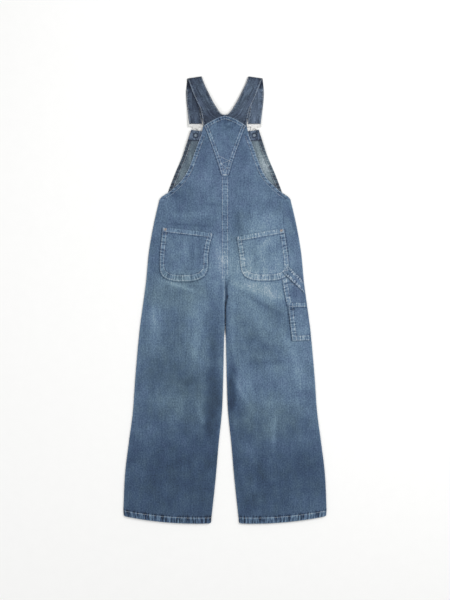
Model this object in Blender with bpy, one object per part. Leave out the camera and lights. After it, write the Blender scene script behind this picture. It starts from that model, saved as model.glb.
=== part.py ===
# Denim dungarees with a yoked back, laid flat on their front so that the back shows.
# Metres. +X is to the right seen from above, +Y runs from the hems to the shoulders, and +Z is
# up from the surface that they lie on. Half tables give the side with positive X.

import math
from collections import namedtuple

import bmesh
import bpy
from mathutils import Vector

# Cloth and stacking
PLY = 0.0012  # one layer of washed denim
STRAP_PLY = 0.0018  # a strap is two thin layers sewn together
GAP = 0.0003  # between pieces that touch
PLY_SPACE = 0.0016  # between the front and the back where they lie on each other
TURNED = 0.0009  # what a turned and stitched edge adds
LEG_HEIGHT = 2 * PLY + PLY_SPACE
CURL_RADIUS = LEG_HEIGHT / 2 - GAP / 2  # a side edge rolls down to meet the other panel
CURL_LENGTH = CURL_RADIUS * math.pi / 2

# Seams and edges
HEM_DEPTH = 0.019
HEM_INNER_Y = -0.6983
HEM_OUTER_Y = -0.6765
HEM_STEP_Y = HEM_INNER_Y + HEM_DEPTH + 0.0012
SEAM_HALF = 0.0095  # half the felled centre seam
ARMHOLE_BAND = 0.013
SIDE_HEM = 0.012  # down the bib's sides and round the yoke
BAND_STEP = 0.0008  # a raised band falls off over this
CROTCH_Y = 0.075
SIDE_TOP_Y = 0.320
WAIST_SEAM_Y = 0.3185
YOKE_TIP_Y = 0.386
EDGE_CALM = 0.022  # folds die out this far from an edge
INNER_ROLL_Y = 0.046  # the inside leg's edge is fully rolled below this
OUTER_ROLL_Y = 0.298  # and so is the side seam's below this
ARMHOLE_BAND_TOP = 0.520  # the raised band has died out here, and the bib's side hems lower down
SIDE_HEM_TOP = 0.490

# The bib lies on its metal, which lifts the cloth there
BIB_LIFT = 0.0052
BIB_LIFT_FROM = 0.415
BIB_LIFT_TO = 0.500
FACING_LIFT = 0.0008  # more for the back, which lies over the bib's facing
FACING_LIFT_FROM = 0.440
FACING_LIFT_TO = 0.490
FACING_Y = 0.500

# Metal
BUTTON = Vector((0.0915, 0.514, 0.0))
BUTTON_RADIUS = 0.0085
BUTTON_HEIGHT = 0.0030
SHANK_RADIUS = 0.0038
TACK_RADIUS = 0.0050
PLATE = 0.0016
PLATE_Z = BUTTON_HEIGHT + GAP + PLATE / 2
RIVET_RADIUS = 0.0042
BAR_Y = 0.5535  # lower edge of the buckle's bar, where the strap turns back

# Colours from the photograph, linear
DENIM = (0.105, 0.158, 0.235, 1)
DENIM_DARK = (0.062, 0.098, 0.155, 1)
DENIM_INSIDE = (0.230, 0.262, 0.285, 1)
STEEL = (0.78, 0.78, 0.77, 1)
COPPER = (0.62, 0.42, 0.32, 1)

# Back panel, from hem to neck. cells is how many cells the stretch up to the next row has.
BackRow = namedtuple("BackRow", "inner_x inner_y outer_x outer_y bow cells")
BACK_ROWS = [
    BackRow(0.0430, HEM_INNER_Y, 0.3160, HEM_OUTER_Y, -0.008, 1),
    BackRow(0.0415, HEM_INNER_Y + HEM_DEPTH, 0.3175, HEM_OUTER_Y + HEM_DEPTH, -0.008, 1),
    BackRow(0.0412, HEM_STEP_Y, 0.3176, HEM_STEP_Y + HEM_OUTER_Y - HEM_INNER_Y, -0.008, 2),
    BackRow(0.0285, -0.5600, 0.3125, -0.5450, -0.004, 2),
    BackRow(0.0190, -0.4500, 0.3005, -0.4450, -0.002, 2),
    BackRow(0.0090, -0.3500, 0.2880, -0.3500, 0.000, 2),
    BackRow(0.0050, -0.2500, 0.2810, -0.2500, 0.000, 2),
    BackRow(0.0025, -0.1500, 0.2725, -0.1500, 0.000, 2),
    BackRow(0.0012, -0.0500, 0.2618, -0.0500, 0.000, 2),
    BackRow(0.0010, 0.0450, 0.2482, 0.0450, 0.000, 1),
    BackRow(0.00015, CROTCH_Y, 0.2450, CROTCH_Y, 0.000, 2),
    BackRow(0.00015, 0.1500, 0.2378, 0.1500, 0.000, 2),
    BackRow(0.00015, 0.2300, 0.2240, 0.2300, 0.000, 2),
    BackRow(0.00015, 0.3080, 0.2085, 0.2980, 0.000, 1),
    BackRow(0.00015, 0.3300, 0.2000, SIDE_TOP_Y, 0.000, 2),
    BackRow(0.00015, 0.3530, 0.1735, 0.3390, 0.000, 2),
    BackRow(0.00015, 0.3760, 0.1500, 0.3600, 0.000, 1),
    BackRow(0.00015, 0.3865, 0.1380, 0.3725, 0.000, 1),
    BackRow(0.00015, 0.3990, 0.1270, 0.3870, 0.000, 2),
    BackRow(0.00015, 0.4300, 0.1120, 0.4150, 0.000, 3),
    BackRow(0.00015, 0.4900, 0.0880, 0.4800, 0.001, 2),
    BackRow(0.00015, 0.5300, 0.0745, 0.5150, 0.002, 1),
    BackRow(0.00015, 0.5640, 0.0680, 0.5420, 0.000, 0),
]

# Front leg panel. Nothing of it shows from above, so its rows are few.
FRONT_ROWS = [
    BackRow(0.0430, HEM_INNER_Y, 0.3160, HEM_OUTER_Y, -0.008, 1),
    BackRow(0.0415, HEM_INNER_Y + HEM_DEPTH, 0.3175, HEM_OUTER_Y + HEM_DEPTH, -0.008, 1),
    BackRow(0.0412, HEM_STEP_Y, 0.3176, HEM_STEP_Y + HEM_OUTER_Y - HEM_INNER_Y, -0.008, 2),
    BackRow(0.0285, -0.5600, 0.3125, -0.5450, -0.004, 1),
    BackRow(0.0190, -0.4500, 0.3005, -0.4450, -0.002, 1),
    BackRow(0.0090, -0.3500, 0.2880, -0.3500, 0.000, 1),
    BackRow(0.0050, -0.2500, 0.2810, -0.2500, 0.000, 1),
    BackRow(0.0025, -0.1500, 0.2725, -0.1500, 0.000, 1),
    BackRow(0.0012, -0.0500, 0.2618, -0.0500, 0.000, 1),
    BackRow(0.0010, 0.0450, 0.2482, 0.0450, 0.000, 1),
    BackRow(0.00015, CROTCH_Y, 0.2450, CROTCH_Y, 0.000, 1),
    BackRow(0.00015, 0.1500, 0.2378, 0.1500, 0.000, 1),
    BackRow(0.00015, 0.2300, 0.2240, 0.2300, 0.000, 1),
    BackRow(0.00015, 0.2980, 0.2085, 0.2980, 0.000, 1),
    BackRow(0.00015, WAIST_SEAM_Y - GAP, 0.2000, WAIST_SEAM_Y - GAP, 0.000, 0),
]

# Front bib, from the waist seam to its top edge
BibRow = namedtuple("BibRow", "half_width edge_y middle_y cells")
BIB_ROWS = [
    BibRow(0.1990, WAIST_SEAM_Y, WAIST_SEAM_Y, 1),
    BibRow(0.1800, 0.3340, 0.3360, 1),
    BibRow(0.1735, 0.3500, 0.3520, 2),
    BibRow(0.1540, 0.4000, 0.4000, 2),
    BibRow(0.1325, 0.4500, 0.4480, 1),
    BibRow(0.1185, 0.4920, 0.4880, 1),
    BibRow(0.1163, 0.4985, 0.4940, 1),
    BibRow(0.1055, 0.5320, 0.5240, 0),
]

# The yoke, from its tip up to the pointed arch over the strap ends
YokeRow = namedtuple("YokeRow", "half_width edge_y middle_y cells")
YOKE_ROWS = [
    YokeRow(0.0100, 0.3880, 0.3880, 3),
    YokeRow(0.0275, 0.4430, 0.4430, 3),
    YokeRow(0.0502, 0.5070, 0.5110, 1),
    YokeRow(0.0600, 0.5330, 0.5480, 1),
    YokeRow(0.0665, 0.5435, 0.5760, 0),
]

# The back pockets, each from its mouth to its rounded foot, as they lie on their leg
PocketRow = namedtuple("PocketRow", "inner_x inner_y outer_x outer_y cells")
POCKET_ROWS = {
    "left": [
        PocketRow(0.0375, 0.2095, 0.1950, 0.2280, 1),
        PocketRow(0.0430, 0.1900, 0.1965, 0.2085, 1),
        PocketRow(0.0435, 0.1885, 0.1967, 0.2070, 1),
        PocketRow(0.0495, 0.1630, 0.1995, 0.1800, 1),
        PocketRow(0.0530, 0.1350, 0.2032, 0.1420, 1),
        PocketRow(0.0535, 0.1050, 0.2040, 0.1070, 1),
        PocketRow(0.0580, 0.0860, 0.2010, 0.0850, 1),
        PocketRow(0.0690, 0.0720, 0.1910, 0.0710, 1),
        PocketRow(0.0900, 0.0620, 0.1710, 0.0620, 1),
        PocketRow(0.1150, 0.0580, 0.1500, 0.0580, 0),
    ],
    "right": [
        PocketRow(0.0356, 0.1985, 0.1845, 0.2245, 1),
        PocketRow(0.0393, 0.1790, 0.1870, 0.2050, 1),
        PocketRow(0.0396, 0.1775, 0.1872, 0.2035, 1),
        PocketRow(0.0430, 0.1560, 0.1915, 0.1770, 1),
        PocketRow(0.0465, 0.1310, 0.1965, 0.1400, 1),
        PocketRow(0.0490, 0.1060, 0.1995, 0.1080, 1),
        PocketRow(0.0535, 0.0870, 0.1975, 0.0860, 1),
        PocketRow(0.0635, 0.0735, 0.1885, 0.0725, 1),
        PocketRow(0.0830, 0.0640, 0.1680, 0.0640, 1),
        PocketRow(0.1080, 0.0605, 0.1430, 0.0605, 0),
    ],
}
POCKET_PUFF = 0.0022
RIVET_IN = Vector((0.0088, 0.0075))  # from the mouth's outer corner, inwards and down

# Rule pocket on the wearer's right leg, from its foot up. It runs out to the side seam.
RulePocketRow = namedtuple("RulePocketRow", "inner_x inner_y outer_y bow cells")
RULE_BACK_ROWS = [
    RulePocketRow(0.2098, -0.1285, -0.1265, 0.000, 2),
    RulePocketRow(0.1995, -0.0430, -0.0420, 0.000, 2),
    RulePocketRow(0.1893, 0.0060, 0.0050, 0.000, 1),
    RulePocketRow(0.1840, 0.0350, 0.0330, 0.004, 1),
    RulePocketRow(0.1793, 0.0632, 0.0570, 0.009, 0),
]
RULE_FRONT_ROWS = [
    RulePocketRow(0.2107, -0.1275, -0.1255, 0.000, 2),
    RulePocketRow(0.2017, -0.0540, -0.0530, 0.000, 1),
    RulePocketRow(0.2000, -0.0290, -0.0280, 0.000, 1),
    RulePocketRow(0.1998, -0.0275, -0.0265, 0.000, 1),
    RulePocketRow(0.1978, -0.0095, -0.0085, 0.000, 0),
]
SEAM_INSET = 0.0028  # what lies on the leg stops this far in from the rolled side edge

# Hammer loop: from the foot of the right pocket to the side seam, where it splays
LoopRow = namedtuple("LoopRow", "lower_x lower_y upper_x upper_y cells")
LOOP_ROWS = [
    LoopRow(0.1810, 0.0860, 0.1970, 0.1065, 2),
    LoopRow(0.1980, 0.0695, 0.2165, 0.0870, 2),
    LoopRow(0.2225, 0.0470, 0.2350, 0.0690, 2),
    LoopRow(0.2480, 0.0225, 0.2430, 0.0560, 0),
]
LOOP_RISE = 0.0026

# A strap, from under the yoke to the shoulder fold. z is the middle of its thickness.
StrapRow = namedtuple("StrapRow", "inner_x inner_y outer_x outer_y z cells")
STRAP_BACK_ROWS = [
    StrapRow(0.00015, 0.5646, 0.0679, 0.5426, 0.00910, 1),
    StrapRow(0.00020, 0.5780, 0.0688, 0.5540, 0.00910, 2),
    StrapRow(0.0085, 0.5800, 0.0715, 0.5660, 0.00910, 2),
    StrapRow(0.0184, 0.5890, 0.0740, 0.5800, 0.00895, 2),
    StrapRow(0.0265, 0.6020, 0.0785, 0.5980, 0.00830, 2),
    StrapRow(0.0375, 0.6200, 0.0865, 0.6160, 0.00740, 2),
    StrapRow(0.0520, 0.6490, 0.0985, 0.6430, 0.00590, 2),
    StrapRow(0.0640, 0.6740, 0.1080, 0.6670, 0.00530, 2),
    StrapRow(0.0725, 0.6965, 0.1165, 0.6900, 0.00530, 0),
]
STRAP_FRONT_ROWS = [
    StrapRow(0.0730, 0.6960, 0.1180, 0.6895, 0.00100, 2),
    StrapRow(0.0795, 0.6600, 0.1210, 0.6580, 0.00100, 2),
    StrapRow(0.0798, 0.6300, 0.1207, 0.6290, 0.00100, 2),
    StrapRow(0.0770, 0.6000, 0.1178, 0.6000, 0.00110, 2),
    StrapRow(0.0715, BAR_Y + GAP, 0.1120, BAR_Y + GAP, 0.00150, 0),
]
STRAP_TAIL_ROWS = [
    StrapRow(0.0715, BAR_Y + GAP, 0.1120, BAR_Y + GAP, 0.00610, 1),
    StrapRow(0.0725, 0.5670, 0.1135, 0.5670, 0.00610, 2),
    StrapRow(0.0768, 0.5980, 0.1174, 0.5980, 0.00335, 2),
    StrapRow(0.0793, 0.6290, 0.1200, 0.6280, 0.00325, 2),
    StrapRow(0.0790, 0.6600, 0.1205, 0.6585, 0.00325, 0),
]
TURN_STEPS = 5

# Soft folds pressed up in the back panels. A fold runs from one end to the other.
Fold = namedtuple("Fold", "x0 y0 x1 y1 width height")
FOLDS = [
    Fold(0.168, 0.330, 0.226, 0.190, 0.011, 0.0036),
    Fold(-0.150, 0.322, -0.196, 0.250, 0.013, 0.0022),
    Fold(0.020, 0.305, 0.115, 0.255, 0.018, 0.0018),
    Fold(-0.025, 0.290, -0.130, 0.252, 0.018, 0.0018),
    Fold(0.050, 0.440, 0.100, 0.330, 0.016, 0.0020),
    Fold(-0.045, 0.430, -0.090, 0.320, 0.016, 0.0020),
    Fold(0.030, 0.040, 0.140, -0.110, 0.022, 0.0036),
    Fold(-0.035, 0.035, -0.150, -0.130, 0.022, 0.0034),
    Fold(0.046, -0.130, 0.062, -0.400, 0.019, 0.0042),
    Fold(-0.062, -0.110, -0.058, -0.410, 0.020, 0.0040),
    Fold(0.095, -0.165, 0.165, -0.235, 0.017, 0.0026),
    Fold(-0.110, -0.300, -0.185, -0.400, 0.019, 0.0028),
    Fold(-0.215, 0.030, -0.232, -0.190, 0.017, 0.0028),
    Fold(0.218, -0.190, 0.240, -0.500, 0.021, 0.0034),
    Fold(-0.222, -0.300, -0.262, -0.610, 0.022, 0.0034),
    Fold(0.125, -0.390, 0.158, -0.650, 0.025, 0.0034),
    Fold(-0.135, -0.460, -0.128, -0.660, 0.025, 0.0034),
]


def step(low, high, value):
    """0 below low, 1 above high, smooth between."""
    t = min(1.0, max(0.0, (value - low) / (high - low)))
    return t * t * (3 - 2 * t)


def mix(a, b, share):
    return a + (b - a) * share


def between(rows, place):
    """The row at place, counted in table rows, on a smooth curve through them."""
    k = min(int(place), len(rows) - 2)
    t = place - k
    before, a, b, after = rows[max(k - 1, 0)], rows[k], rows[k + 1], rows[min(k + 2, len(rows) - 1)]
    made = []
    for p, q, r, s in zip(before, a, b, after):
        slope_in = (r - p) / 2 if k else r - q
        slope_out = (s - q) / 2 if k + 2 < len(rows) else r - q
        made.append(
            (2 * t**3 - 3 * t**2 + 1) * q
            + (t**3 - 2 * t**2 + t) * slope_in
            + (3 * t**2 - 2 * t**3) * r
            + (t**3 - t**2) * slope_out
        )
    return type(a)(*made)


def stations(rows):
    """Every row of a wall: the table's own, and those that its cells column asks for between."""
    places = []
    for k, row in enumerate(rows[:-1]):
        places += [k + n / row.cells for n in range(row.cells)]
    return [between(rows, place) for place in places] + [rows[-1]]


def leg_edges(y):
    """Inner and outer X of a leg at this height."""
    rows = BACK_ROWS
    for low, high in zip(rows, rows[1:]):
        if y <= high.outer_y:
            share = max(0.0, (y - low.outer_y) / (high.outer_y - low.outer_y))
            return mix(low.inner_x, high.inner_x, share), mix(low.outer_x, high.outer_x, share)
    return rows[-1].inner_x, rows[-1].outer_x


def lift(y):
    return BIB_LIFT * step(BIB_LIFT_FROM, BIB_LIFT_TO, y)


def fold_height(x, y):
    """How far the soft folds push the back up here."""
    inner, outer = leg_edges(y)
    calm = step(0.0, EDGE_CALM, outer - abs(x)) * step(0.0, EDGE_CALM, abs(x) - inner)
    total = 0.0
    for fold in FOLDS:
        run = Vector((fold.x1 - fold.x0, fold.y1 - fold.y0))
        to_point = Vector((x - fold.x0, y - fold.y0))
        along = to_point.dot(run) / run.length_squared
        if 0.0 < along < 1.0:
            off = (to_point - along * run).length / fold.width
            total += fold.height * math.sin(math.pi * along) * math.exp(-off * off)
    return calm * total


def back_top(x, y):
    """Outer face of the back, without its turned edges."""
    spread = FACING_LIFT * step(FACING_LIFT_FROM, FACING_LIFT_TO, y)
    return lift(y) + spread + LEG_HEIGHT + fold_height(x, y)


def material(name, colour, roughness, metallic=0.0):
    made = bpy.data.materials.new(name)
    made.use_nodes = True
    made.diffuse_color = colour
    shader = made.node_tree.nodes["Principled BSDF"]
    shader.inputs["Base Color"].default_value = colour
    shader.inputs["Roughness"].default_value = roughness
    shader.inputs["Metallic"].default_value = metallic
    return made


def add_object(name, mesh, surface):
    """Puts the mesh in the garment's collection, shaded smooth over its soft faces."""
    mesh.materials.clear()
    mesh.materials.append(surface)
    mesh.shade_smooth()
    mesh.set_sharp_from_angle(angle=math.radians(40))
    made = bpy.data.objects.new(name, mesh)
    bpy.data.collections["dungarees"].objects.link(made)
    return made


def wall(name, columns, rows, place, surface):
    """A cloth wall: a flat gridded slab whose points place() moves.

    place(column, row, outer) gives the point, where outer is True on the outer face.
    """
    grid = bmesh.new()
    bmesh.ops.create_grid(grid, x_segments=columns, y_segments=rows, size=0.5)
    bmesh.ops.solidify(grid, geom=grid.faces[:], thickness=1.0)
    bmesh.ops.recalc_face_normals(grid, faces=grid.faces)
    for point in grid.verts:
        column = round((point.co.x + 0.5) * columns)
        row = round((point.co.y + 0.5) * rows)
        point.co = place(column, row, point.co.z > -0.5)
    if grid.calc_volume(signed=True) < 0:
        bmesh.ops.reverse_faces(grid, faces=grid.faces)
    mesh = bpy.data.meshes.new(name)
    grid.to_mesh(mesh)
    grid.free()
    return add_object(name, mesh, surface)


def column_offsets(width, inner_band, outer_band, middles):
    """Distances from the inner edge: three over each rolled edge, each band's step, and the middle."""
    inner = [0.0, CURL_LENGTH / 2, CURL_LENGTH, inner_band, inner_band + BAND_STEP]
    outer = [outer_band + BAND_STEP, outer_band, CURL_LENGTH, CURL_LENGTH / 2, 0.0]
    first, last = inner[-1], width - outer[0]
    middle = [mix(first, last, n / (middles + 1)) for n in range(1, middles + 1)]
    return inner + middle + [width - d for d in outer]


def leg_panel(name, table, side, up, middles, surface):
    """A leg panel. up is 1 for the back, which lies on top, and -1 for the front."""
    rows = stations(table)
    top_row = len(rows) - 1
    count = len(column_offsets(1.0, SEAM_HALF, ARMHOLE_BAND, middles))
    hem_rows = 2

    def rolled(edge_distance, roll):
        """Plan distance from the edge, drop and lean of a point on a rolled edge."""
        turn = max(0.0, 1 - edge_distance / CURL_LENGTH) * math.pi / 2
        plan = mix(edge_distance, CURL_RADIUS * (1 - math.sin(turn)), roll)
        return plan, roll * CURL_RADIUS * (1 - math.cos(turn)), roll * turn

    def place(column, row, outer):
        line = rows[row]
        inner_end = Vector((line.inner_x, line.inner_y))
        outer_end = Vector((line.outer_x, line.outer_y))
        width = (outer_end - inner_end).length
        along = (outer_end - inner_end) / width
        offset = column_offsets(width, SEAM_HALF, ARMHOLE_BAND, middles)[column]
        near_inner = column < count / 2
        distance = offset if near_inner else width - offset
        if near_inner:
            roll = 1 - step(INNER_ROLL_Y, CROTCH_Y, line.inner_y)
        else:
            roll = 1 - step(OUTER_ROLL_Y, SIDE_TOP_Y, line.outer_y)
        drop = lean = 0.0
        if distance <= CURL_LENGTH:
            distance, drop, lean = rolled(distance, roll)
        raised = 0.0
        if near_inner and distance <= SEAM_HALF and up > 0:
            raised = TURNED * (1 - roll) * (1 - step(YOKE_TIP_Y - SIDE_HEM, YOKE_TIP_Y, line.inner_y))
        if not near_inner and distance <= ARMHOLE_BAND and up > 0:
            fade = step(ARMHOLE_BAND_TOP - 2 * SIDE_HEM, ARMHOLE_BAND_TOP, line.outer_y)
            raised = TURNED * (1 - roll) * (1 - fade)
        if row < hem_rows:
            raised = TURNED if up > 0 and not lean else 0.0
        if not outer:
            distance += PLY * math.sin(lean)
        offset = distance if near_inner else width - distance
        share = offset / width
        point = inner_end + along * offset
        point.y += 4 * share * (1 - share) * line.bow
        x = side * point.x
        if up > 0:
            z = back_top(x, point.y) - drop
        else:
            z = lift(point.y) + drop
        z += raised if outer else -up * PLY * math.cos(lean)
        return Vector((x, point.y, z))

    return wall(name, count - 1, top_row, place, surface)


def front_bib(surface):
    rows = stations(BIB_ROWS)
    sides = [0.0, SIDE_HEM, SIDE_HEM + BAND_STEP]
    middles = 5

    def place(column, row, outer):
        line = rows[row]
        width = 2 * line.half_width
        middle = [mix(sides[-1], width - sides[-1], n / (middles + 1)) for n in range(1, middles + 1)]
        offset = (sides + middle + [width - d for d in reversed(sides)])[column]
        share = offset / width
        edge = min(offset, width - offset)
        x = offset - line.half_width
        y = line.edge_y + 4 * share * (1 - share) * (line.middle_y - line.edge_y)
        raised = TURNED * (1 - step(SIDE_HEM_TOP - 0.006, SIDE_HEM_TOP, y)) if edge <= SIDE_HEM else 0.0
        return Vector((x, y, lift(y) if outer else lift(y) + PLY + raised))

    return wall("front_bib", 2 * len(sides) + middles - 1, len(rows) - 1, place, surface)


def bib_facing(surface):
    """The strip that finishes the bib's top edge, on the side that shows from above."""
    columns, rows = 8, 3
    low, high = BIB_ROWS[-2], BIB_ROWS[-1]
    inset = 0.0010

    def place(column, row, outer):
        up_share = row / rows
        half_width = mix(low.half_width, high.half_width, up_share) - inset
        across = 2 * column / columns - 1
        edge_y = mix(FACING_Y, high.edge_y - inset, up_share)
        sag = mix(low.middle_y - low.edge_y, high.middle_y - high.edge_y, up_share)
        y = edge_y + (1 - across * across) * sag
        z = lift(y) + PLY + GAP + (PLY if outer else 0.0)
        return Vector((across * half_width, y, z))

    return wall("bib_facing", columns, rows, place, surface)


def yoke(surface):
    rows = stations(YOKE_ROWS)
    columns = 10

    def place(column, row, outer):
        line = rows[row]
        across = 2 * column / columns - 1
        x = across * line.half_width
        pointed = (1 - abs(across)) * (1 + 0.55 * abs(across))
        y = line.edge_y + pointed * (line.middle_y - line.edge_y)
        z = back_top(x, y) + GAP + (PLY if outer else 0.0)
        near_edge = (1 - abs(across)) * line.half_width < SIDE_HEM
        return Vector((x, y, z + (TURNED / 2 if outer and near_edge else 0.0)))

    return wall("yoke", columns, len(rows) - 1, place, surface)


def back_pocket(name, table, side, surface):
    rows = stations(table)
    columns = 10
    hem_rows = 2

    def place(column, row, outer):
        line = rows[row]
        share = column / columns
        x = side * mix(line.inner_x, line.outer_x, share)
        y = mix(line.inner_y, line.outer_y, share)
        down = row / (len(rows) - 1)
        puff = POCKET_PUFF * math.sin(math.pi * share) * math.sin(math.pi * min(1.0, 0.25 + down))
        z = back_top(x, y) + GAP + max(0.0, puff)
        if outer:
            z += PLY + (TURNED if row < hem_rows else 0.0)
        return Vector((x, y, z))

    return wall(name, columns, len(rows) - 1, place, surface)


def rule_pocket(name, table, layer, puff, hem_from, surface):
    """A layer of the rule pocket. layer counts the cloth under it, hem_from is its mouth's first row."""
    rows = stations(table)
    columns = 6

    def place(column, row, outer):
        line = rows[row]
        share = column / columns
        y = mix(line.inner_y, line.outer_y, share) + 4 * share * (1 - share) * line.bow
        outer_x = leg_edges(y)[1] - SEAM_INSET
        x = mix(line.inner_x, outer_x, share)
        up_share = row / (len(rows) - 1)
        swell = puff * math.sin(math.pi * share) * math.sin(math.pi * min(1.0, 0.15 + up_share * 0.75))
        z = back_top(x, y) + GAP + layer * (PLY + GAP) + swell
        if outer:
            z += PLY + (TURNED if row >= hem_from else 0.0)
        return Vector((x, y, z))

    return wall(name, columns, len(rows) - 1, place, surface)


def hammer_loop(surface):
    """It lies on the pocket at one end and on the rule pocket at the other, a little slack between."""
    rows = stations(LOOP_ROWS)
    columns = 4

    def place(column, row, outer):
        line = rows[row]
        share = column / columns
        x = mix(line.lower_x, line.upper_x, share)
        y = mix(line.lower_y, line.upper_y, share)
        x = min(x, leg_edges(y)[1] - SEAM_INSET)
        slack = LOOP_RISE * math.sin(math.pi * row / (len(rows) - 1))
        z = back_top(x, y) + PLY + 3 * GAP + slack
        return Vector((x, y, z + (PLY if outer else 0.0)))

    return wall("hammer_loop", columns, len(rows) - 1, place, surface)


def strap_path():
    """Every station of a strap: inner edge, outer edge, height, and how far its face has turned."""
    made = []
    for row in stations(STRAP_BACK_ROWS):
        made.append((Vector((row.inner_x, row.inner_y)), Vector((row.outer_x, row.outer_y)), row.z, 0.0))
    made += strap_turn(made[-1], STRAP_FRONT_ROWS[0], 0.0)
    for row in stations(STRAP_FRONT_ROWS):
        inner, outer = Vector((row.inner_x, row.inner_y)), Vector((row.outer_x, row.outer_y))
        made.append((inner, outer, row.z, math.pi))
    made += strap_turn(made[-1], STRAP_TAIL_ROWS[0], math.pi)
    for row in stations(STRAP_TAIL_ROWS):
        inner, outer = Vector((row.inner_x, row.inner_y)), Vector((row.outer_x, row.outer_y))
        made.append((inner, outer, row.z, 2 * math.pi))
    return made


def strap_turn(start, end, turned):
    """The half turn between two flat stretches of a strap, over a line across it."""
    inner, outer, top_z, _ = start
    radius = abs(end.z - top_z) / 2
    middle_z = (top_z + end.z) / 2
    across = (outer - inner).normalized()
    ahead = Vector((-across.y, across.x))
    made = []
    for n in range(1, TURN_STEPS):
        turn = turned + math.pi * n / TURN_STEPS
        share = n / TURN_STEPS
        inner_at = inner.lerp(Vector((end.inner_x, end.inner_y)), share)
        outer_at = outer.lerp(Vector((end.outer_x, end.outer_y)), share)
        out = ahead * radius * math.sin(turn)
        made.append((inner_at + out, outer_at + out, middle_z + radius * math.cos(turn), turn))
    return made


def strap(name, side, surface):
    path = strap_path()
    columns = 4

    def place(column, row, outer):
        inner_at, outer_at, z, turn = path[row]
        across = (outer_at - inner_at).normalized()
        ahead = Vector((-across.y, across.x))
        half = STRAP_PLY / 2 if outer else -STRAP_PLY / 2
        at = inner_at.lerp(outer_at, column / columns) + ahead * half * math.sin(turn)
        return Vector((side * at.x, at.y, z + half * math.cos(turn)))

    return wall(name, columns, len(path) - 1, place, surface)


def arc(centre, radius, start, end, steps):
    """Points on an arc, with its angles in degrees."""
    return [
        (
            centre[0] + radius * math.cos(math.radians(mix(start, end, n / steps))),
            centre[1] + radius * math.sin(math.radians(mix(start, end, n / steps))),
        )
        for n in range(steps + 1)
    ]


def rounded(half_width, low, high, radius):
    """A rectangle with round corners, about the middle."""
    side = half_width - radius
    return (
        arc((side, high - radius), radius, 0, 90, 3)
        + arc((-side, high - radius), radius, 90, 180, 3)
        + arc((-side, low + radius), radius, 180, 270, 3)
        + arc((side, low + radius), radius, 270, 360, 3)
    )


def buckle(name, side, surface):
    """A stamped dungaree buckle: a frame with two slots for the strap, and a keyhole for the button."""
    frame_half, frame_low, frame_high, frame_corner = 0.0235, 0.0275, 0.0505, 0.0025
    slot_half, slot_corner = 0.0210, 0.0008
    bar_low = BAR_Y - BUTTON.y
    bar_high = bar_low + 0.0030
    neck_half = 0.00925
    ring, ring_y, ring_hole = 0.0120, 0.0130, 0.0090
    seat, seat_hole, channel_half = 0.0095, 0.0048, 0.0040
    neck_turn = math.degrees(math.acos(neck_half / ring))
    flank_turn = math.degrees(math.asin((ring - seat) / ring_y))
    channel_turn = math.degrees(math.acos(channel_half / ring_hole))
    seat_turn = math.degrees(math.acos(channel_half / seat_hole))
    frame_side = frame_half - frame_corner
    outline = (
        arc((frame_side, frame_low + frame_corner), frame_corner, -90, 0, 3)
        + arc((frame_side, frame_high - frame_corner), frame_corner, 0, 90, 3)
        + arc((-frame_side, frame_high - frame_corner), frame_corner, 90, 180, 3)
        + arc((-frame_side, frame_low + frame_corner), frame_corner, 180, 270, 3)
        + [(-neck_half, frame_low)]
        + arc((0, ring_y), ring, 180 - neck_turn, 180 + flank_turn, 5)
        + arc((0, 0), seat, 180 + flank_turn, 360 - flank_turn, 10)
        + arc((0, ring_y), ring, -flank_turn, neck_turn, 5)
        + [(neck_half, frame_low)]
    )
    keyhole = arc((0, ring_y), ring_hole, -channel_turn, 180 + channel_turn, 14)
    keyhole += arc((0, 0), seat_hole, 180 - seat_turn, 360 + seat_turn, 9)
    holes = [
        rounded(slot_half, frame_low + 0.0035, bar_low, slot_corner),
        rounded(slot_half, bar_high, frame_high - 0.0032, slot_corner),
        keyhole,
    ]
    shape = bpy.data.curves.new(name, "CURVE")
    shape.dimensions = "2D"
    shape.fill_mode = "BOTH"
    shape.extrude = PLATE / 2
    for points in [outline, *holes]:
        spline = shape.splines.new("POLY")
        spline.points.add(len(points) - 1)
        for point, (x, y) in zip(spline.points, points):
            point.co = (x, y, 0, 1)
        spline.use_cyclic_u = True
    shape.materials.append(surface)
    made = bpy.data.objects.new(name, shape)
    made.location = (side * BUTTON.x, BUTTON.y, PLATE_Z)
    bpy.data.collections["dungarees"].objects.link(made)
    return made


def turned(name, profile, at, surface, steps=20):
    """A turned piece: profile is (radius, height) from its rim's foot inwards over the top."""
    lathe = bmesh.new()
    points = [lathe.verts.new((radius, 0, z)) for radius, z in profile]
    edges = [lathe.edges.new(pair) for pair in zip(points, points[1:])]
    bmesh.ops.spin(
        lathe,
        geom=points + edges,
        axis=(0, 0, 1),
        cent=(0, 0, 0),
        angle=2 * math.pi,
        steps=steps,
        use_merge=True,
    )
    bmesh.ops.remove_doubles(lathe, verts=lathe.verts, dist=0.00001)
    bmesh.ops.recalc_face_normals(lathe, faces=lathe.faces)
    mesh = bpy.data.meshes.new(name)
    lathe.to_mesh(mesh)
    lathe.free()
    made = add_object(name, mesh, surface)
    made.location = at
    return made


def bib_button(name, side, surface):
    """Cap on the floor side, with the shank that stands in the buckle's keyhole."""
    cap, shank_top = BUTTON_HEIGHT, BIB_LIFT - GAP
    profile = [
        (0.0, 0.0),
        (BUTTON_RADIUS - 0.0008, 0.0),
        (BUTTON_RADIUS, 0.0008),
        (BUTTON_RADIUS - 0.0004, cap - 0.0006),
        (BUTTON_RADIUS - 0.0012, cap),
        (SHANK_RADIUS, cap),
        (SHANK_RADIUS, shank_top),
        (0.0, shank_top),
    ]
    return turned(name, profile, (side * BUTTON.x, BUTTON.y, 0), surface)


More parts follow.
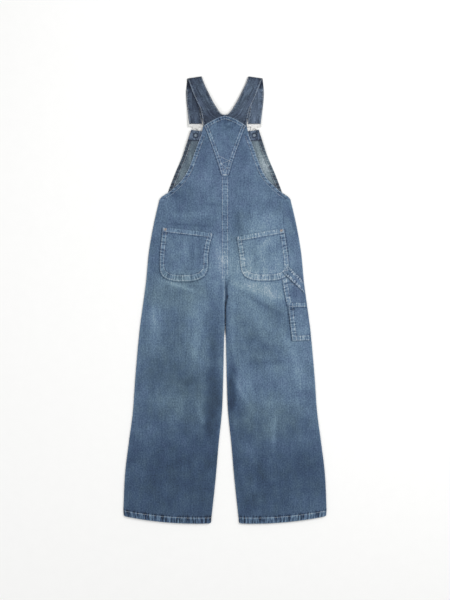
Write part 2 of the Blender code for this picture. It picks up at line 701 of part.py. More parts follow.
def button_tack(name, side, surface):
    """The tack that holds the button, on the bib's inner side."""
    height = 0.0013
    profile = [
        (0.0, 0.0),
        (TACK_RADIUS, 0.0),
        (TACK_RADIUS, 0.0005),
        (TACK_RADIUS - 0.0010, height),
        (TACK_RADIUS - 0.0030, height),
        (0.0, height - 0.0004),
    ]
    z = lift(BUTTON.y) + 2 * (PLY + GAP)
    return turned(name, profile, (side * BUTTON.x, BUTTON.y, z), surface)


def rivet(name, table, side, surface):
    height = 0.0012
    profile = [
        (0.0, 0.0),
        (RIVET_RADIUS, 0.0),
        (RIVET_RADIUS, 0.0004),
        (RIVET_RADIUS * 0.70, height),
        (RIVET_RADIUS * 0.35, height * 0.8),
        (0.0, height),
    ]
    x = side * (table[0].outer_x - RIVET_IN.x)
    y = table[0].outer_y - RIVET_IN.y
    z = back_top(x, y) + PLY + TURNED + 3 * GAP
    return turned(name, profile, (x, y, z), surface, steps=16)


def main():
    for old in list(bpy.data.objects):
        bpy.data.objects.remove(old)
    bpy.context.scene.collection.children.link(bpy.data.collections.new("dungarees"))
    denim = material("denim", DENIM, 0.85)
    dark = material("denim_dark", DENIM_DARK, 0.85)
    inside = material("denim_inside", DENIM_INSIDE, 0.9)
    steel = material("nickel", STEEL, 0.25, 1.0)
    copper = material("copper", COPPER, 0.35, 1.0)
    for word, side in (("left", -1), ("right", 1)):
        leg_panel(f"back_{word}", BACK_ROWS, side, 1, 8, denim)
        leg_panel(f"front_{word}", FRONT_ROWS, side, -1, 2, denim)
        strap(f"strap_{word}", side, dark)
        buckle(f"buckle_{word}", side, steel)
        bib_button(f"button_{word}", side, steel)
        button_tack(f"tack_{word}", side, steel)
        back_pocket(f"pocket_{word}", POCKET_ROWS[word], side, denim)
        rivet(f"rivet_{word}", POCKET_ROWS[word], side, copper)
    front_bib(inside)
    bib_facing(dark)
    yoke(denim)
    rule_pocket("rule_pocket_back", RULE_BACK_ROWS, 0, 0.0, 99, denim)
    rule_pocket("rule_pocket_front", RULE_FRONT_ROWS, 1, 0.0012, 5, denim)
    hammer_loop(denim)


main()
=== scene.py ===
# Washed denim dungarees with a yoked back, laid flat on their front so that the back shows.
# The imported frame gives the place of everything; this script adds the cloth, sewing and finishes.
import math
from collections import namedtuple

import bmesh
import bpy
import numpy as np
from mathutils import Matrix, Vector


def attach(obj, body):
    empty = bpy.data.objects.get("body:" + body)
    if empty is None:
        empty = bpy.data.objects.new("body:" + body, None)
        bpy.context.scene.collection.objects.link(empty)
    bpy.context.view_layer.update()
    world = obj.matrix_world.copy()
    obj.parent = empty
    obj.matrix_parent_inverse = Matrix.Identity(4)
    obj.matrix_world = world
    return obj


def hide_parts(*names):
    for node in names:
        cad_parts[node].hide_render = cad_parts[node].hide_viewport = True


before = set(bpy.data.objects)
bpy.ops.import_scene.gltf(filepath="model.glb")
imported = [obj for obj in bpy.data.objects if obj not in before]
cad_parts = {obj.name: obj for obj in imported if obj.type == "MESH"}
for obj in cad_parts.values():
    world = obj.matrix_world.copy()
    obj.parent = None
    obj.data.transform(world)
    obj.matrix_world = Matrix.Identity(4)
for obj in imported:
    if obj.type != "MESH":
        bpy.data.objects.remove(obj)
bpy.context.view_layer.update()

# Shared measures in metres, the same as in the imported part. A tone is from 0.16, the deepest dye,
# to 0.80, bare yarn.
cloth = {
    "ply": 0.0012,  # one layer of washed denim
    "strapPly": 0.0018,  # a strap is two thin layers sewn together
    "gap": 0.0003,
    "plySpace": 0.0016,  # between front and back where they lie on each other
    "turned": 0.0009,  # what a turned and stitched edge adds
}
legHeight = 2 * cloth["ply"] + cloth["plySpace"]
curlRadius = legHeight / 2 - cloth["gap"] / 2
curlLength = curlRadius * math.pi / 2
sides = (("left", -1), ("right", 1))  # of the picture, and of the wearer too
pathCell = 0.004  # between the points of a row of stitches


def smoothStep(low, high, value):
    # rises from 0 at low to 1 at high; low may be the larger, and then it falls
    t = np.clip((value - low) / (high - low), 0.0, 1.0)
    return t * t * (3 - 2 * t)


def ridge(distance, middle, halfWidth):
    # a soft line at this distance from an edge
    return np.exp(-(((distance - middle) / halfWidth) ** 2))


def softNoise(x, y, size, seed):
    # random heights on a lattice of this size, smooth between, from -1 to 1
    count, middle = 512, 200.0
    lattice = np.random.default_rng(seed).uniform(-1, 1, (count, count))
    gridX, gridY = x / size + middle, y / size + middle
    cellX, cellY = np.floor(gridX).astype(int), np.floor(gridY).astype(int)
    tx, ty = gridX - cellX, gridY - cellY
    tx, ty = tx * tx * (3 - 2 * tx), ty * ty * (3 - 2 * ty)
    left, right, low, high = cellX % count, (cellX + 1) % count, cellY % count, (cellY + 1) % count
    lowRow = lattice[left, low] * (1 - tx) + lattice[right, low] * tx
    highRow = lattice[left, high] * (1 - tx) + lattice[right, high] * tx
    return lowRow * (1 - ty) + highRow * ty


def noiseSum(x, y, layers):
    # noises added up: each has an amount, how much of y counts, a size and a seed
    return sum(amount * softNoise(x, y * share, size, seed) for amount, share, size, seed in layers)


def stacked(*layers):
    return np.stack(layers, axis=-1)


def tableAt(rows, place):
    # a table's row at each place, counted in rows, on smooth curves through its numbers
    table = np.array(rows, dtype=float)
    last = len(table) - 1
    k = np.clip(place.astype(int), 0, last - 1)
    t = (place - k)[:, None]
    a, b = table[k], table[k + 1]
    slopeIn = np.where((k > 0)[:, None], (b - table[np.maximum(k - 1, 0)]) / 2, b - a)
    slopeOut = np.where((k + 2 <= last)[:, None], (table[np.minimum(k + 2, last)] - a) / 2, b - a)
    values = (2 * t**3 - 3 * t**2 + 1) * a + (3 * t**2 - 2 * t**3) * b
    return values + (t**3 - 2 * t**2 + t) * slopeIn + (t**3 - t**2) * slopeOut


def placesDown(rows, cell):
    # places down a table, about one cell apart on the cloth
    table = np.array(rows, dtype=float)
    steps = np.hypot(np.diff(table[:, 0]), np.diff(table[:, 1]))
    if table.shape[1] > 3:
        steps = np.maximum(steps, np.hypot(np.diff(table[:, 2]), np.diff(table[:, 3])))
    made = []
    for k, length in enumerate(steps):
        count = max(1, math.ceil(length / cell))
        made += [k + n / count for n in range(count)]
    return np.array(made + [len(table) - 1.0])


def spread(lines, shares, shape=None):
    # plan points of a table's lines: shares of the way across, and bow times the shape given
    shape = 4 * shares * (1 - shares) if shape is None else shape
    x = lines[:, 0, None] + (lines[:, 2] - lines[:, 0])[:, None] * shares
    y = lines[:, 1, None] + (lines[:, 3] - lines[:, 1])[:, None] * shares
    return x, y + lines[:, 4, None] * shape


def columnsAcross(width, near, far, count):
    # distances across each row: those given in from both edges, and even steps between them
    first, last = near[-1], width - far[-1]
    middle = first + (last - first) * (np.arange(count) + 1) / (count + 1)
    return np.concatenate([np.tile(near, (len(width), 1)), middle, width - far[::-1]], axis=1)


def fromLine(x, y, row):
    # how far along a row's line each point is, from 0 to 1 between its ends, and how far off it
    runX, runY = row.x1 - row.x0, row.y1 - row.y0
    along = ((x - row.x0) * runX + (y - row.y0) * runY) / (runX**2 + runY**2)
    return along, np.hypot(x - row.x0 - along * runX, y - row.y0 - along * runY)


def distanceTo(path, x, y):
    # from each point to a path in plan, how far along the path its nearest place is, and 1 where
    # the point is on the path's left or -1 on its right
    nearest, run, leftOf = np.full(x.shape, 9.0), np.zeros(x.shape), np.ones(x.shape)
    start = 0.0
    for a, b in zip(path, path[1:]):
        dx, dy = b[0] - a[0], b[1] - a[1]
        length = math.hypot(dx, dy)
        if length < 1e-7:
            continue
        t = np.clip(((x - a[0]) * dx + (y - a[1]) * dy) / length**2, 0, 1)
        gap = np.hypot(x - a[0] - t * dx, y - a[1] - t * dy)
        closer = gap < nearest
        nearest = np.where(closer, gap, nearest)
        run = np.where(closer, start + t * length, run)
        leftOf = np.where(closer, np.where(dx * (y - a[1]) >= dy * (x - a[0]), 1.0, -1.0), leftOf)
        start += length
    return nearest, run, leftOf


def inset(path, distance, side):
    # the path moved sideways, to its left where side is 1
    path = np.array(path)
    ahead = np.gradient(path, axis=0)
    ahead /= np.maximum(np.linalg.norm(ahead, axis=1), 1e-9)[:, None]
    return path + side * distance * np.stack([-ahead[:, 1], ahead[:, 0]], axis=1)


# Sewn bands: after many washes the cloth ropes between its stitch rows. A place across a band is
# counted in band widths from its edge.
roping = {
    "pitch": 0.0044,
    "slant": 0.0045,  # how far a rope moves along the band as it crosses it
    "lengthAcross": 0.003,  # a rope's own unevenness, for each band width
    "contrast": 2.4,
    "height": 0.00030,
    "begins": (-0.95, -0.55),
    "ends": (1.85, 1.40),
    "raisedBegins": (-0.02, 0.10),  # its height keeps closer to the band than its marks do
    "raisedEnds": (1.35, 1.00),
    "margin": 0.02,  # how much stronger a band has to be to take another's place
    "endFade": 0.002,  # a band fades out at the ends of its path over this
}


def sewnBand(fromEdge, run, width, strength, pace=1.0):
    # a band's field: run along it, place across it (0 at its edge, 1 where it ends) and strength
    across = fromEdge / width
    fade = smoothStep(*roping["ends"], across) * smoothStep(*roping["begins"], across)
    return [run * pace, across, strength * fade]


def strongest(*bands):
    # where bands meet, each point keeps the one that marks it most
    kept = [np.array(a, dtype=float) + 0.0 for a in np.broadcast_arrays(*bands[0])]
    for band in bands[1:]:
        band = np.broadcast_arrays(*band)
        better = band[2] > kept[2] + roping["margin"]
        kept = [np.where(better, b, a) for a, b in zip(kept, band)]
    return kept


def bandHeight(band, seed):
    # the roping's own rise and fall; each piece gives a seed of its own
    run, across, strength = band
    slanted = run + roping["slant"] * across
    noise = softNoise(slanted, across * roping["lengthAcross"], roping["pitch"], seed)
    inside = smoothStep(*roping["raisedBegins"], across) * smoothStep(*roping["raisedEnds"], across)
    return roping["height"] * np.tanh(roping["contrast"] * noise) * inside * strength


# Tables: an acrossRow is a line over a piece, whose middle bow lifts, and a halfRow a symmetric one
acrossRow = namedtuple("acrossRow", "innerX innerY outerX outerY bow", defaults=(0.0,))
halfRow = namedtuple("halfRow", "halfWidth edgeY middleY")


def mirroredLines(rows, cell):
    half, edgeY, middleY = tableAt(rows, placesDown(rows, cell)).T
    return np.stack([-half, edgeY, half, edgeY, middleY - edgeY], axis=1)


# The body's outline from hem to neck
hem = {
    "innerY": -0.6983,
    "outerY": -0.6765,
    "depth": 0.019,
    "clear": 0.0202,  # from here up the cloth is single
    "stitchUp": 0.0168,
    "stitchEnds": (0.004, 0.996),  # shares of the way across
    "corner": 0.0045,
    "roping": 1.45,
    "pace": 0.9,  # of its ropes, which are a little longer than the others
}
body = {
    "rows": [acrossRow(*row) for row in (
        (0.0438, hem["innerY"], 0.3160, hem["outerY"], -0.008),
        (0.0424, hem["innerY"] + hem["depth"], 0.3175, hem["outerY"] + hem["depth"], -0.008),
        (0.0421, hem["innerY"] + hem["clear"], 0.3176, hem["outerY"] + hem["clear"], -0.008),
        (0.0295, -0.5600, 0.3125, -0.5450, -0.004), (0.0200, -0.4500, 0.3005, -0.4450, -0.002),
        (0.0097, -0.3500, 0.2880, -0.3500), (0.0057, -0.2500, 0.2810, -0.2500),
        (0.0035, -0.1500, 0.2725, -0.1500), (0.0027, -0.1150, 0.2690, -0.1150),
        (0.0005, -0.0780, 0.2650, -0.0780), (0.0003, 0.0450, 0.2482, 0.0450),
        (0.00015, 0.0750, 0.2450, 0.0750), (0.00015, 0.1500, 0.2378, 0.1500),
        (0.00015, 0.2300, 0.2240, 0.2300), (0.00015, 0.3080, 0.2085, 0.2980),
        (0.00015, 0.3300, 0.2000, 0.3200), (0.00015, 0.3530, 0.1735, 0.3390),
        (0.00015, 0.3760, 0.1500, 0.3600), (0.00015, 0.3865, 0.1380, 0.3725),
        (0.00015, 0.3990, 0.1270, 0.3870), (0.00015, 0.4300, 0.1120, 0.4150),
        (0.00015, 0.4900, 0.0880, 0.4800, 0.001), (0.00015, 0.5300, 0.0745, 0.5150, 0.002),
        (0.00015, 0.5640, 0.0680, 0.5420),
    )],
    "cell": 0.0030,
    "middles": 60,  # columns between those set close to its edges
    "innerColumns": (0.0043, 0.0060, 0.0078, 0.0095, 0.0106, 0.0122, 0.0145),
    "outerColumns": (0.0046, 0.0066, 0.0088, 0.0110, 0.0130, 0.0142, 0.0160, 0.0185),
    "crotch": (0.075, 0.046),  # the inner edges are sewn flat above, and roll down below
    "sideTop": (0.320, 0.298),
    "seam": {"width": 0.0095, "strength": 0.65, "step": (0.0104, 0.0091), "top": (0.386, 0.374)},
    "armhole": {"width": 0.013, "strength": 1.0, "step": (0.0140, 0.0126), "top": (0.530, 0.506)},
    "seamStitches": {"x": 0.0080, "lowY": 0.078, "highY": 0.384},
    "armholeStitches": ((0.0014, 0.325, 0.520), (0.0112, 0.327, 0.515)),  # in from the edge, low y, high y
    "edgeCalm": 0.022,  # folds die out this far from an edge
    "rub": {"tone": 0.05, "width": 0.004, "uneven": ((0.6, 1, 0.012, 61),)},  # paler on its rolled edges: partly rubbed, partly a painted highlight
    "inShade": (-0.22, -0.14),  # above here the inner edge of one leg is in shade, and its painted highlight is left off
}
bodyTable = np.array(body["rows"])


def legEdges(y):
    return np.interp(y, bodyTable[:, 3], bodyTable[:, 0]), np.interp(y, bodyTable[:, 3], bodyTable[:, 2])


# Soft folds and creases pressed up in the back: from one end to the other, width, height.
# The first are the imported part's own, and the finer ones between them come after.
foldRow = namedtuple("foldRow", "x0 y0 x1 y1 width height")
folds = [foldRow(*row) for row in (
    (0.168, 0.330, 0.226, 0.190, 0.011, 0.0036), (-0.150, 0.322, -0.196, 0.250, 0.013, 0.0022),
    (0.020, 0.305, 0.115, 0.255, 0.018, 0.0018), (-0.025, 0.290, -0.130, 0.252, 0.018, 0.0018),
    (0.050, 0.440, 0.100, 0.330, 0.016, 0.0020), (-0.045, 0.430, -0.090, 0.320, 0.016, 0.0020),
    (0.030, 0.040, 0.140, -0.110, 0.022, 0.0036), (-0.035, 0.035, -0.150, -0.130, 0.022, 0.0034),
    (0.046, -0.130, 0.062, -0.400, 0.019, 0.0042), (-0.062, -0.110, -0.058, -0.410, 0.020, 0.0040),
    (0.095, -0.165, 0.165, -0.235, 0.017, 0.0026), (-0.110, -0.300, -0.185, -0.400, 0.019, 0.0028),
    (-0.215, 0.030, -0.232, -0.190, 0.017, 0.0028), (0.218, -0.190, 0.240, -0.500, 0.021, 0.0034),
    (-0.222, -0.300, -0.262, -0.610, 0.022, 0.0034), (0.125, -0.390, 0.158, -0.650, 0.025, 0.0034),
    (-0.135, -0.460, -0.128, -0.660, 0.025, 0.0034), (0.205, 0.300, 0.229, 0.195, 0.005, 0.0010),
    (0.128, 0.352, 0.176, 0.262, 0.007, 0.0009), (-0.166, 0.338, -0.205, 0.262, 0.006, 0.0008),
    (-0.118, 0.360, -0.152, 0.300, 0.008, 0.0008), (0.032, 0.340, 0.092, 0.306, 0.008, 0.0007),
    (-0.030, 0.345, -0.110, 0.312, 0.009, 0.0008), (0.060, 0.238, 0.142, 0.246, 0.007, 0.0006),
    (-0.022, 0.060, -0.012, -0.090, 0.006, 0.0012), (0.016, 0.050, 0.034, -0.120, 0.007, 0.0012),
    (0.055, 0.045, 0.160, -0.030, 0.009, 0.0010), (-0.060, 0.030, -0.130, -0.060, 0.009, 0.0010),
    (0.088, -0.080, 0.150, -0.160, 0.010, 0.0012), (-0.098, -0.100, -0.178, -0.190, 0.010, 0.0011),
    (-0.030, -0.190, -0.036, -0.360, 0.008, 0.0013), (0.028, -0.170, 0.040, -0.350, 0.008, 0.0013),
    (-0.095, -0.215, -0.150, -0.262, 0.010, 0.0010), (0.085, -0.300, 0.120, -0.345, 0.010, 0.0009),
    (0.182, -0.250, 0.196, -0.430, 0.010, 0.0011), (-0.188, -0.250, -0.205, -0.420, 0.011, 0.0010),
    (-0.098, -0.420, -0.088, -0.600, 0.011, 0.0011), (0.082, -0.430, 0.094, -0.640, 0.012, 0.0012),
    (0.198, -0.470, 0.214, -0.660, 0.012, 0.0011), (-0.178, -0.500, -0.196, -0.665, 0.012, 0.0011),
    (-0.062, -0.540, -0.058, -0.668, 0.010, 0.0009), (0.262, -0.540, 0.274, -0.655, 0.010, 0.0009),
)]
fineRelief = {  # of washed cloth
    "level": 0.0003,
    "uneven": ((0.00028, 0.6, 0.017, 11), (0.00014, 0.7, 0.0075, 12)),
    "top": (0.53, 0.50),  # the strap ends hold it flat above
}
# The bib lies on its metal, which lifts the cloth there
bibLift = {"height": 0.0052, "rises": (0.415, 0.500), "facing": 0.0008, "facingRises": (0.440, 0.490)}


def lift(y):
    return bibLift["height"] * smoothStep(*bibLift["rises"], y)


def foldHeight(x, y):
    innerX, outerX = legEdges(y)
    calm = smoothStep(0, body["edgeCalm"], outerX - abs(x))
    calm = calm * smoothStep(0, body["edgeCalm"], abs(x) - innerX)
    total = np.zeros(np.shape(x))
    for fold in folds:
        along, off = fromLine(x, y, fold)
        total = total + fold.height * np.sin(np.pi * np.clip(along, 0, 1)) * ridge(off, 0, fold.width)
    fine = fineRelief["level"] + noiseSum(x, y, fineRelief["uneven"])
    return calm * (total + fine * smoothStep(*fineRelief["top"], y))


def backTop(x, y):
    spreadUp = bibLift["facing"] * smoothStep(*bibLift["facingRises"], y)
    return lift(y) + spreadUp + legHeight + foldHeight(x, y)


# Where the dye has washed out or stayed, with painted shade in a trough, under the loop and inside the
# knees: middle, half sizes, turn in degrees, and by how much
washAndShadeRow = namedtuple("washAndShadeRow", "x y halfX halfY turn strength")
washAndShade = {
    "level": 0.403,
    "foldTone": 9.0,  # how much paler the cloth is for each metre that a fold stands up: partly wear on the ridges, partly painted light on them and painted shade in the hollows
    "flatHeight": 0.0010,
    "uneven": ((0.16, 1, 0.045, 21), (0.08, 1, 0.018, 22)),
    "rim": (1.55, 0.25),  # an area fades between these shares of its half sizes
    "areas": [washAndShadeRow(*row) for row in (
        (0.065, 0.095, 0.120, 0.105, -22, 0.115),  # the seat, palest
        (0.000, 0.120, 0.020, 0.045, 0, 0.035), (0.130, 0.230, 0.075, 0.055, 0, 0.085),
        (0.110, 0.440, 0.028, 0.080, 25, 0.040), (0.000, 0.350, 0.012, 0.045, 0, 0.040),
        (0.010, 0.370, 0.050, 0.050, 0, 0.010), (-0.165, 0.065, 0.050, 0.035, 0, 0.055),
        (-0.150, 0.180, 0.050, 0.050, 0, 0.015), (-0.140, 0.340, 0.035, 0.045, 0, -0.035),
        (-0.070, 0.450, 0.018, 0.060, -12, -0.035), (0.055, 0.450, 0.020, 0.040, 0, -0.030),
        (-0.238, 0.200, 0.026, 0.120, 8, -0.012),
        (0.207, 0.255, 0.009, 0.062, 22, -0.065),  # painted shade in the trough beside the long fold
        (-0.152, 0.330, 0.018, 0.012, 0, -0.030), (0.175, 0.330, 0.016, 0.014, 0, -0.040),
        (-0.090, -0.060, 0.032, 0.130, 0, 0.025), (-0.215, -0.060, 0.022, 0.042, 0, 0.040),
        (-0.165, -0.110, 0.034, 0.060, 0, -0.040), (-0.035, -0.080, 0.028, 0.090, 0, -0.040),
        (-0.004, -0.010, 0.003, 0.090, 0, 0.025), (0.150, -0.105, 0.075, 0.026, -42, 0.030),
        (0.190, 0.040, 0.020, 0.080, 0, 0.020),
        (0.218, 0.024, 0.014, 0.022, 0, -0.060),  # painted shade under the loop
        (0.192, 0.084, 0.018, 0.015, 0, 0.100),  # the knot at the loop's end
        (0.140, 0.030, 0.060, 0.026, -22, 0.032), (0.235, -0.075, 0.028, 0.045, 0, 0.035),
        (0.088, -0.112, 0.018, 0.026, 0, -0.050), (0.235, -0.195, 0.050, 0.090, 0, 0.045),
        (0.140, -0.270, 0.110, 0.055, 0, 0.020), (-0.165, -0.230, 0.110, 0.060, 0, -0.072),
        # the last area on this line and the first on the next are painted shade beside the folds inside the
        # knees
        (-0.080, -0.330, 0.070, 0.080, 0, -0.045), (-0.038, -0.310, 0.027, 0.120, 0, -0.145),
        (0.018, -0.290, 0.018, 0.120, -4, -0.150), (0.050, -0.335, 0.026, 0.050, 0, -0.080),
        (0.145, -0.400, 0.022, 0.045, 0, 0.030),
        (-0.150, -0.480, 0.260, 0.120, 0, -0.050),  # the lower legs keep their dye
        (-0.150, -0.640, 0.260, 0.200, 0, -0.108), (0.180, -0.480, 0.260, 0.140, 0, -0.050),
        (0.180, -0.660, 0.260, 0.200, 0, -0.058), (0.064, -0.500, 0.045, 0.062, 0, 0.075),
        (-0.042, -0.575, 0.022, 0.075, 0, 0.055), (-0.235, -0.357, 0.055, 0.050, 0, -0.050),
        (0.232, -0.384, 0.035, 0.045, 0, -0.055), (0.180, 0.072, 0.050, 0.085, 0, 0.040),
        (0.103, 0.195, 0.022, 0.022, 0, -0.050), (-0.010, 0.028, 0.013, 0.030, 0, -0.045),
        (0.030, -0.025, 0.016, 0.035, 0, 0.040), (-0.030, -0.165, 0.028, 0.025, 0, -0.045),
        (-0.125, -0.060, 0.028, 0.050, 0, -0.032), (0.095, 0.325, 0.055, 0.025, 0, 0.040),
        (0.147, -0.222, 0.030, 0.035, 0, 0.032), (0.235, -0.540, 0.060, 0.070, 0, -0.020),
    )],
}

# Narrow creases as painted highlights and painted shade lines, where the light would pick them out: from one
# end to the other, half width, and how much paler. They have no relief of their own, and sway a little.
creaseRow = namedtuple("creaseRow", "x0 y0 x1 y1 halfWidth strength")
creaseLook = {
    "sway": ((0.35, 1, 0.022, 23),),
    "begins": (-0.12, 0.22),  # in lengths of the crease
    "ends": (1.12, 0.78),
}
creases = [creaseRow(*row) for row in (
    (0.0050, 0.072, 0.0042, 0.036, 0.0060, -0.110),  # down from the crotch
    (0.0140, 0.070, 0.0050, 0.038, 0.0035, -0.090), (0.0040, 0.042, 0.0074, 0.004, 0.0034, -0.220),
    (0.0076, 0.015, 0.0010, -0.022, 0.0032, -0.220), (0.0014, -0.006, 0.0012, -0.115, 0.0034, -0.260),
    (-0.0026, 0.060, -0.0030, -0.120, 0.0024, 0.040), (0.028, 0.041, 0.184, -0.052, 0.0075, -0.055),
    (0.050, 0.050, 0.190, -0.002, 0.0160, 0.050), (-0.202, 0.064, -0.088, 0.026, 0.0055, 0.090),
    (-0.200, 0.046, -0.110, 0.016, 0.0110, -0.025), (-0.082, -0.070, -0.102, -0.250, 0.0110, 0.050),
    (-0.094, -0.244, -0.128, -0.266, 0.0100, -0.055), (-0.090, -0.315, -0.068, -0.390, 0.0085, 0.055),
    (-0.034, -0.080, -0.034, -0.210, 0.0120, -0.045), (0.020, -0.030, 0.031, -0.215, 0.0060, 0.055),
    (0.022, -0.230, 0.082, -0.340, 0.0070, 0.055), (0.156, -0.360, 0.150, -0.460, 0.0075, 0.070),
    (0.075, -0.192, 0.182, -0.196, 0.0120, -0.060), (0.185, -0.115, 0.224, -0.192, 0.0120, 0.045),
    (0.222, -0.180, 0.238, -0.310, 0.0120, 0.035), (0.235, -0.312, 0.105, -0.325, 0.0100, 0.035),
    (0.090, -0.272, 0.128, -0.270, 0.0120, -0.040), (-0.190, 0.262, -0.055, 0.268, 0.0080, 0.040),
    (-0.205, 0.240, -0.025, 0.229, 0.0060, -0.055), (-0.065, 0.300, 0.000, 0.296, 0.0060, -0.035),
    (0.040, 0.280, 0.043, 0.190, 0.0080, -0.045), (-0.034, 0.205, -0.008, 0.085, 0.0140, 0.040),
    (-0.125, 0.218, -0.123, 0.105, 0.0070, 0.030), (-0.102, 0.218, -0.100, 0.095, 0.0060, -0.035),
    (-0.078, 0.208, -0.080, 0.105, 0.0060, -0.030), (0.092, 0.190, 0.098, 0.090, 0.0090, -0.050),
    (0.122, 0.195, 0.122, 0.095, 0.0100, 0.035), (-0.222, -0.010, -0.224, -0.080, 0.0080, 0.035),
)]

# Where the washed dye looks more violet (above 0) or greener and greyer (below 0)
castRow = namedtuple("castRow", "x y halfX halfY shift")
castLook = {"uneven": ((0.15, 1, 0.04, 25),), "rim": (1.4, 0.3)}
casts = [castRow(*row) for row in (
    (-0.015, 0.140, 0.035, 0.110, 0.006), (0.000, 0.400, 0.120, 0.120, 0.005),
    (0.060, 0.130, 0.070, 0.120, -0.009), (0.120, -0.080, 0.110, 0.130, -0.009),
    (-0.150, 0.030, 0.110, 0.070, -0.016), (-0.140, -0.200, 0.130, 0.150, -0.010),
    (-0.120, -0.330, 0.110, 0.080, -0.008), (0.130, -0.370, 0.110, 0.070, -0.013),
    (0.225, 0.010, 0.040, 0.120, 0.006), (0.000, -0.600, 0.400, 0.120, -0.003),
)]


def creaseLightAndShade(x, y):
    total = np.zeros(np.shape(x))
    sway = noiseSum(x, y, creaseLook["sway"])
    for crease in creases:
        along, off = fromLine(x, y, crease)
        fade = smoothStep(*creaseLook["begins"], along) * smoothStep(*creaseLook["ends"], along)
        total = total + crease.strength * fade * np.exp(-((off / crease.halfWidth + sway) ** 2))
    return total


def washAndShadeTone(x, y):
    # each area is flat in the middle and soft at the rim, with an uneven outline
    total = washAndShade["level"] + creaseLightAndShade(x, y)
    uneven = noiseSum(x, y, washAndShade["uneven"])
    for area in washAndShade["areas"]:
        turn = math.radians(area.turn)
        offX, offY = x - area.x, y - area.y
        along = offX * math.cos(turn) + offY * math.sin(turn)
        up = offY * math.cos(turn) - offX * math.sin(turn)
        reach = np.hypot(along / area.halfX, up / area.halfY) + uneven
        total = total + area.strength * smoothStep(*washAndShade["rim"], reach)
    return total


def castAt(x, y):
    total = np.zeros(np.shape(x))
    uneven = noiseSum(x, y, castLook["uneven"])
    for area in casts:
        reach = np.hypot((x - area.x) / area.halfX, (y - area.y) / area.halfY)
        total = total + area.shift * smoothStep(*castLook["rim"], reach + uneven)
    return total


def clothSlab(name, node, outer, inner, run, tone, band, finishes, slot):
    # A gridded slab whose points go to the outer and inner arrays, which are rows by columns.
    # run has the cloth's own coordinates in metres, tone its wash with painted light and shade, and band its
    # sewn bands.
    rows, columns = outer.shape[0] - 1, outer.shape[1] - 1
    grid = bmesh.new()
    bmesh.ops.create_grid(grid, x_segments=columns, y_segments=rows, size=0.5)
    bmesh.ops.solidify(grid, geom=grid.faces[:], thickness=1.0)
    bmesh.ops.recalc_face_normals(grid, faces=grid.faces)
    isOuter = np.array([point.co.z > -0.5 for point in grid.verts])
    columnOf = [round((point.co.x + 0.5) * columns) for point in grid.verts]
    rowOf = [round((point.co.y + 0.5) * rows) for point in grid.verts]
    points = np.where(isOuter[:, None], outer[rowOf, columnOf], inner[rowOf, columnOf])
    for point, at in zip(grid.verts, points.tolist()):
        point.co = at
    if grid.calc_volume(signed=True) < 0:
        bmesh.ops.reverse_faces(grid, faces=grid.faces)
    mesh = bpy.data.meshes.new(name)
    grid.to_mesh(mesh)
    grid.free()
    corners = np.empty(len(mesh.loops), dtype=int)
    mesh.loops.foreach_get("vertex_index", corners)
    bandRun, bandAcross, strength = band
    cast = castAt(outer[:, :, 0], outer[:, :, 1])
    for key, values in (("tone", tone), ("roping", strength), ("cast", cast)):
        layer = mesh.attributes.new(key, "FLOAT", "POINT")
        layer.data.foreach_set("value", values[rowOf, columnOf].astype(np.float32))
    for key, values in (("cloth", run), ("seam", stacked(bandRun, bandAcross))):
        layer = mesh.uv_layers.new(name=key)
        layer.uv.foreach_set("vector", values[rowOf, columnOf][corners].astype(np.float32).ravel())
    for surface in finishes:
        mesh.materials.append(surface)
    if len(finishes) > 1:  # the cloth's reverse has its own finish
        starts = np.empty(len(mesh.polygons), dtype=int)
        mesh.polygons.foreach_get("loop_start", starts)
        outerCount = np.add.reduceat(isOuter[corners].astype(int), starts)
        mesh.polygons.foreach_set("material_index", (outerCount == 0).astype(np.int32))
    mesh.shade_smooth()
    mesh.set_sharp_from_angle(angle=math.radians(50))
    piece = bpy.data.objects.new(name, mesh)
    bpy.context.scene.collection.objects.link(piece)
    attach(piece, "root")
    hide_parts(node)
    return piece


def laidCloth(name, node, x, y, base, top, *rest):
    # a slab between two heights over the same places
    return clothSlab(name, node, stacked(x, y, top), stacked(x, y, base), stacked(x, y), *rest)


def linear(hexColour):
    # an sRGB hex value as the linear colour that the shader works in
    parts = [int(hexColour[n : n + 2], 16) / 255 for n in (1, 3, 5)]
    return tuple(p / 12.92 if p <= 0.04045 else ((p + 0.055) / 1.055) ** 2.4 for p in parts) + (1.0,)


def addNode(tree, kind, settings):
    # one node with its settings, where a value that is another node's socket is linked
    node = tree.nodes.new(kind)
    for name, value in settings.items():
        if isinstance(value, bpy.types.NodeSocket):
            tree.links.new(value, node.inputs[name])
        elif name == "stops":
            ramp = node.color_ramp.elements
            while len(ramp) < len(value):
                ramp.new(0.5)
            for element, (position, colour) in zip(ramp, value):
                element.position = position
                element.color = linear(colour) if isinstance(colour, str) else (*colour, 1.0)
        elif isinstance(name, int) or name in node.inputs:
            node.inputs[name].default_value = value
        else:
            setattr(node, name, value)
    return node


def newFinish(name):
    surface = bpy.data.materials.new(name)
    surface.use_nodes = True
    surface.node_tree.nodes.clear()
    return surface, surface.node_tree


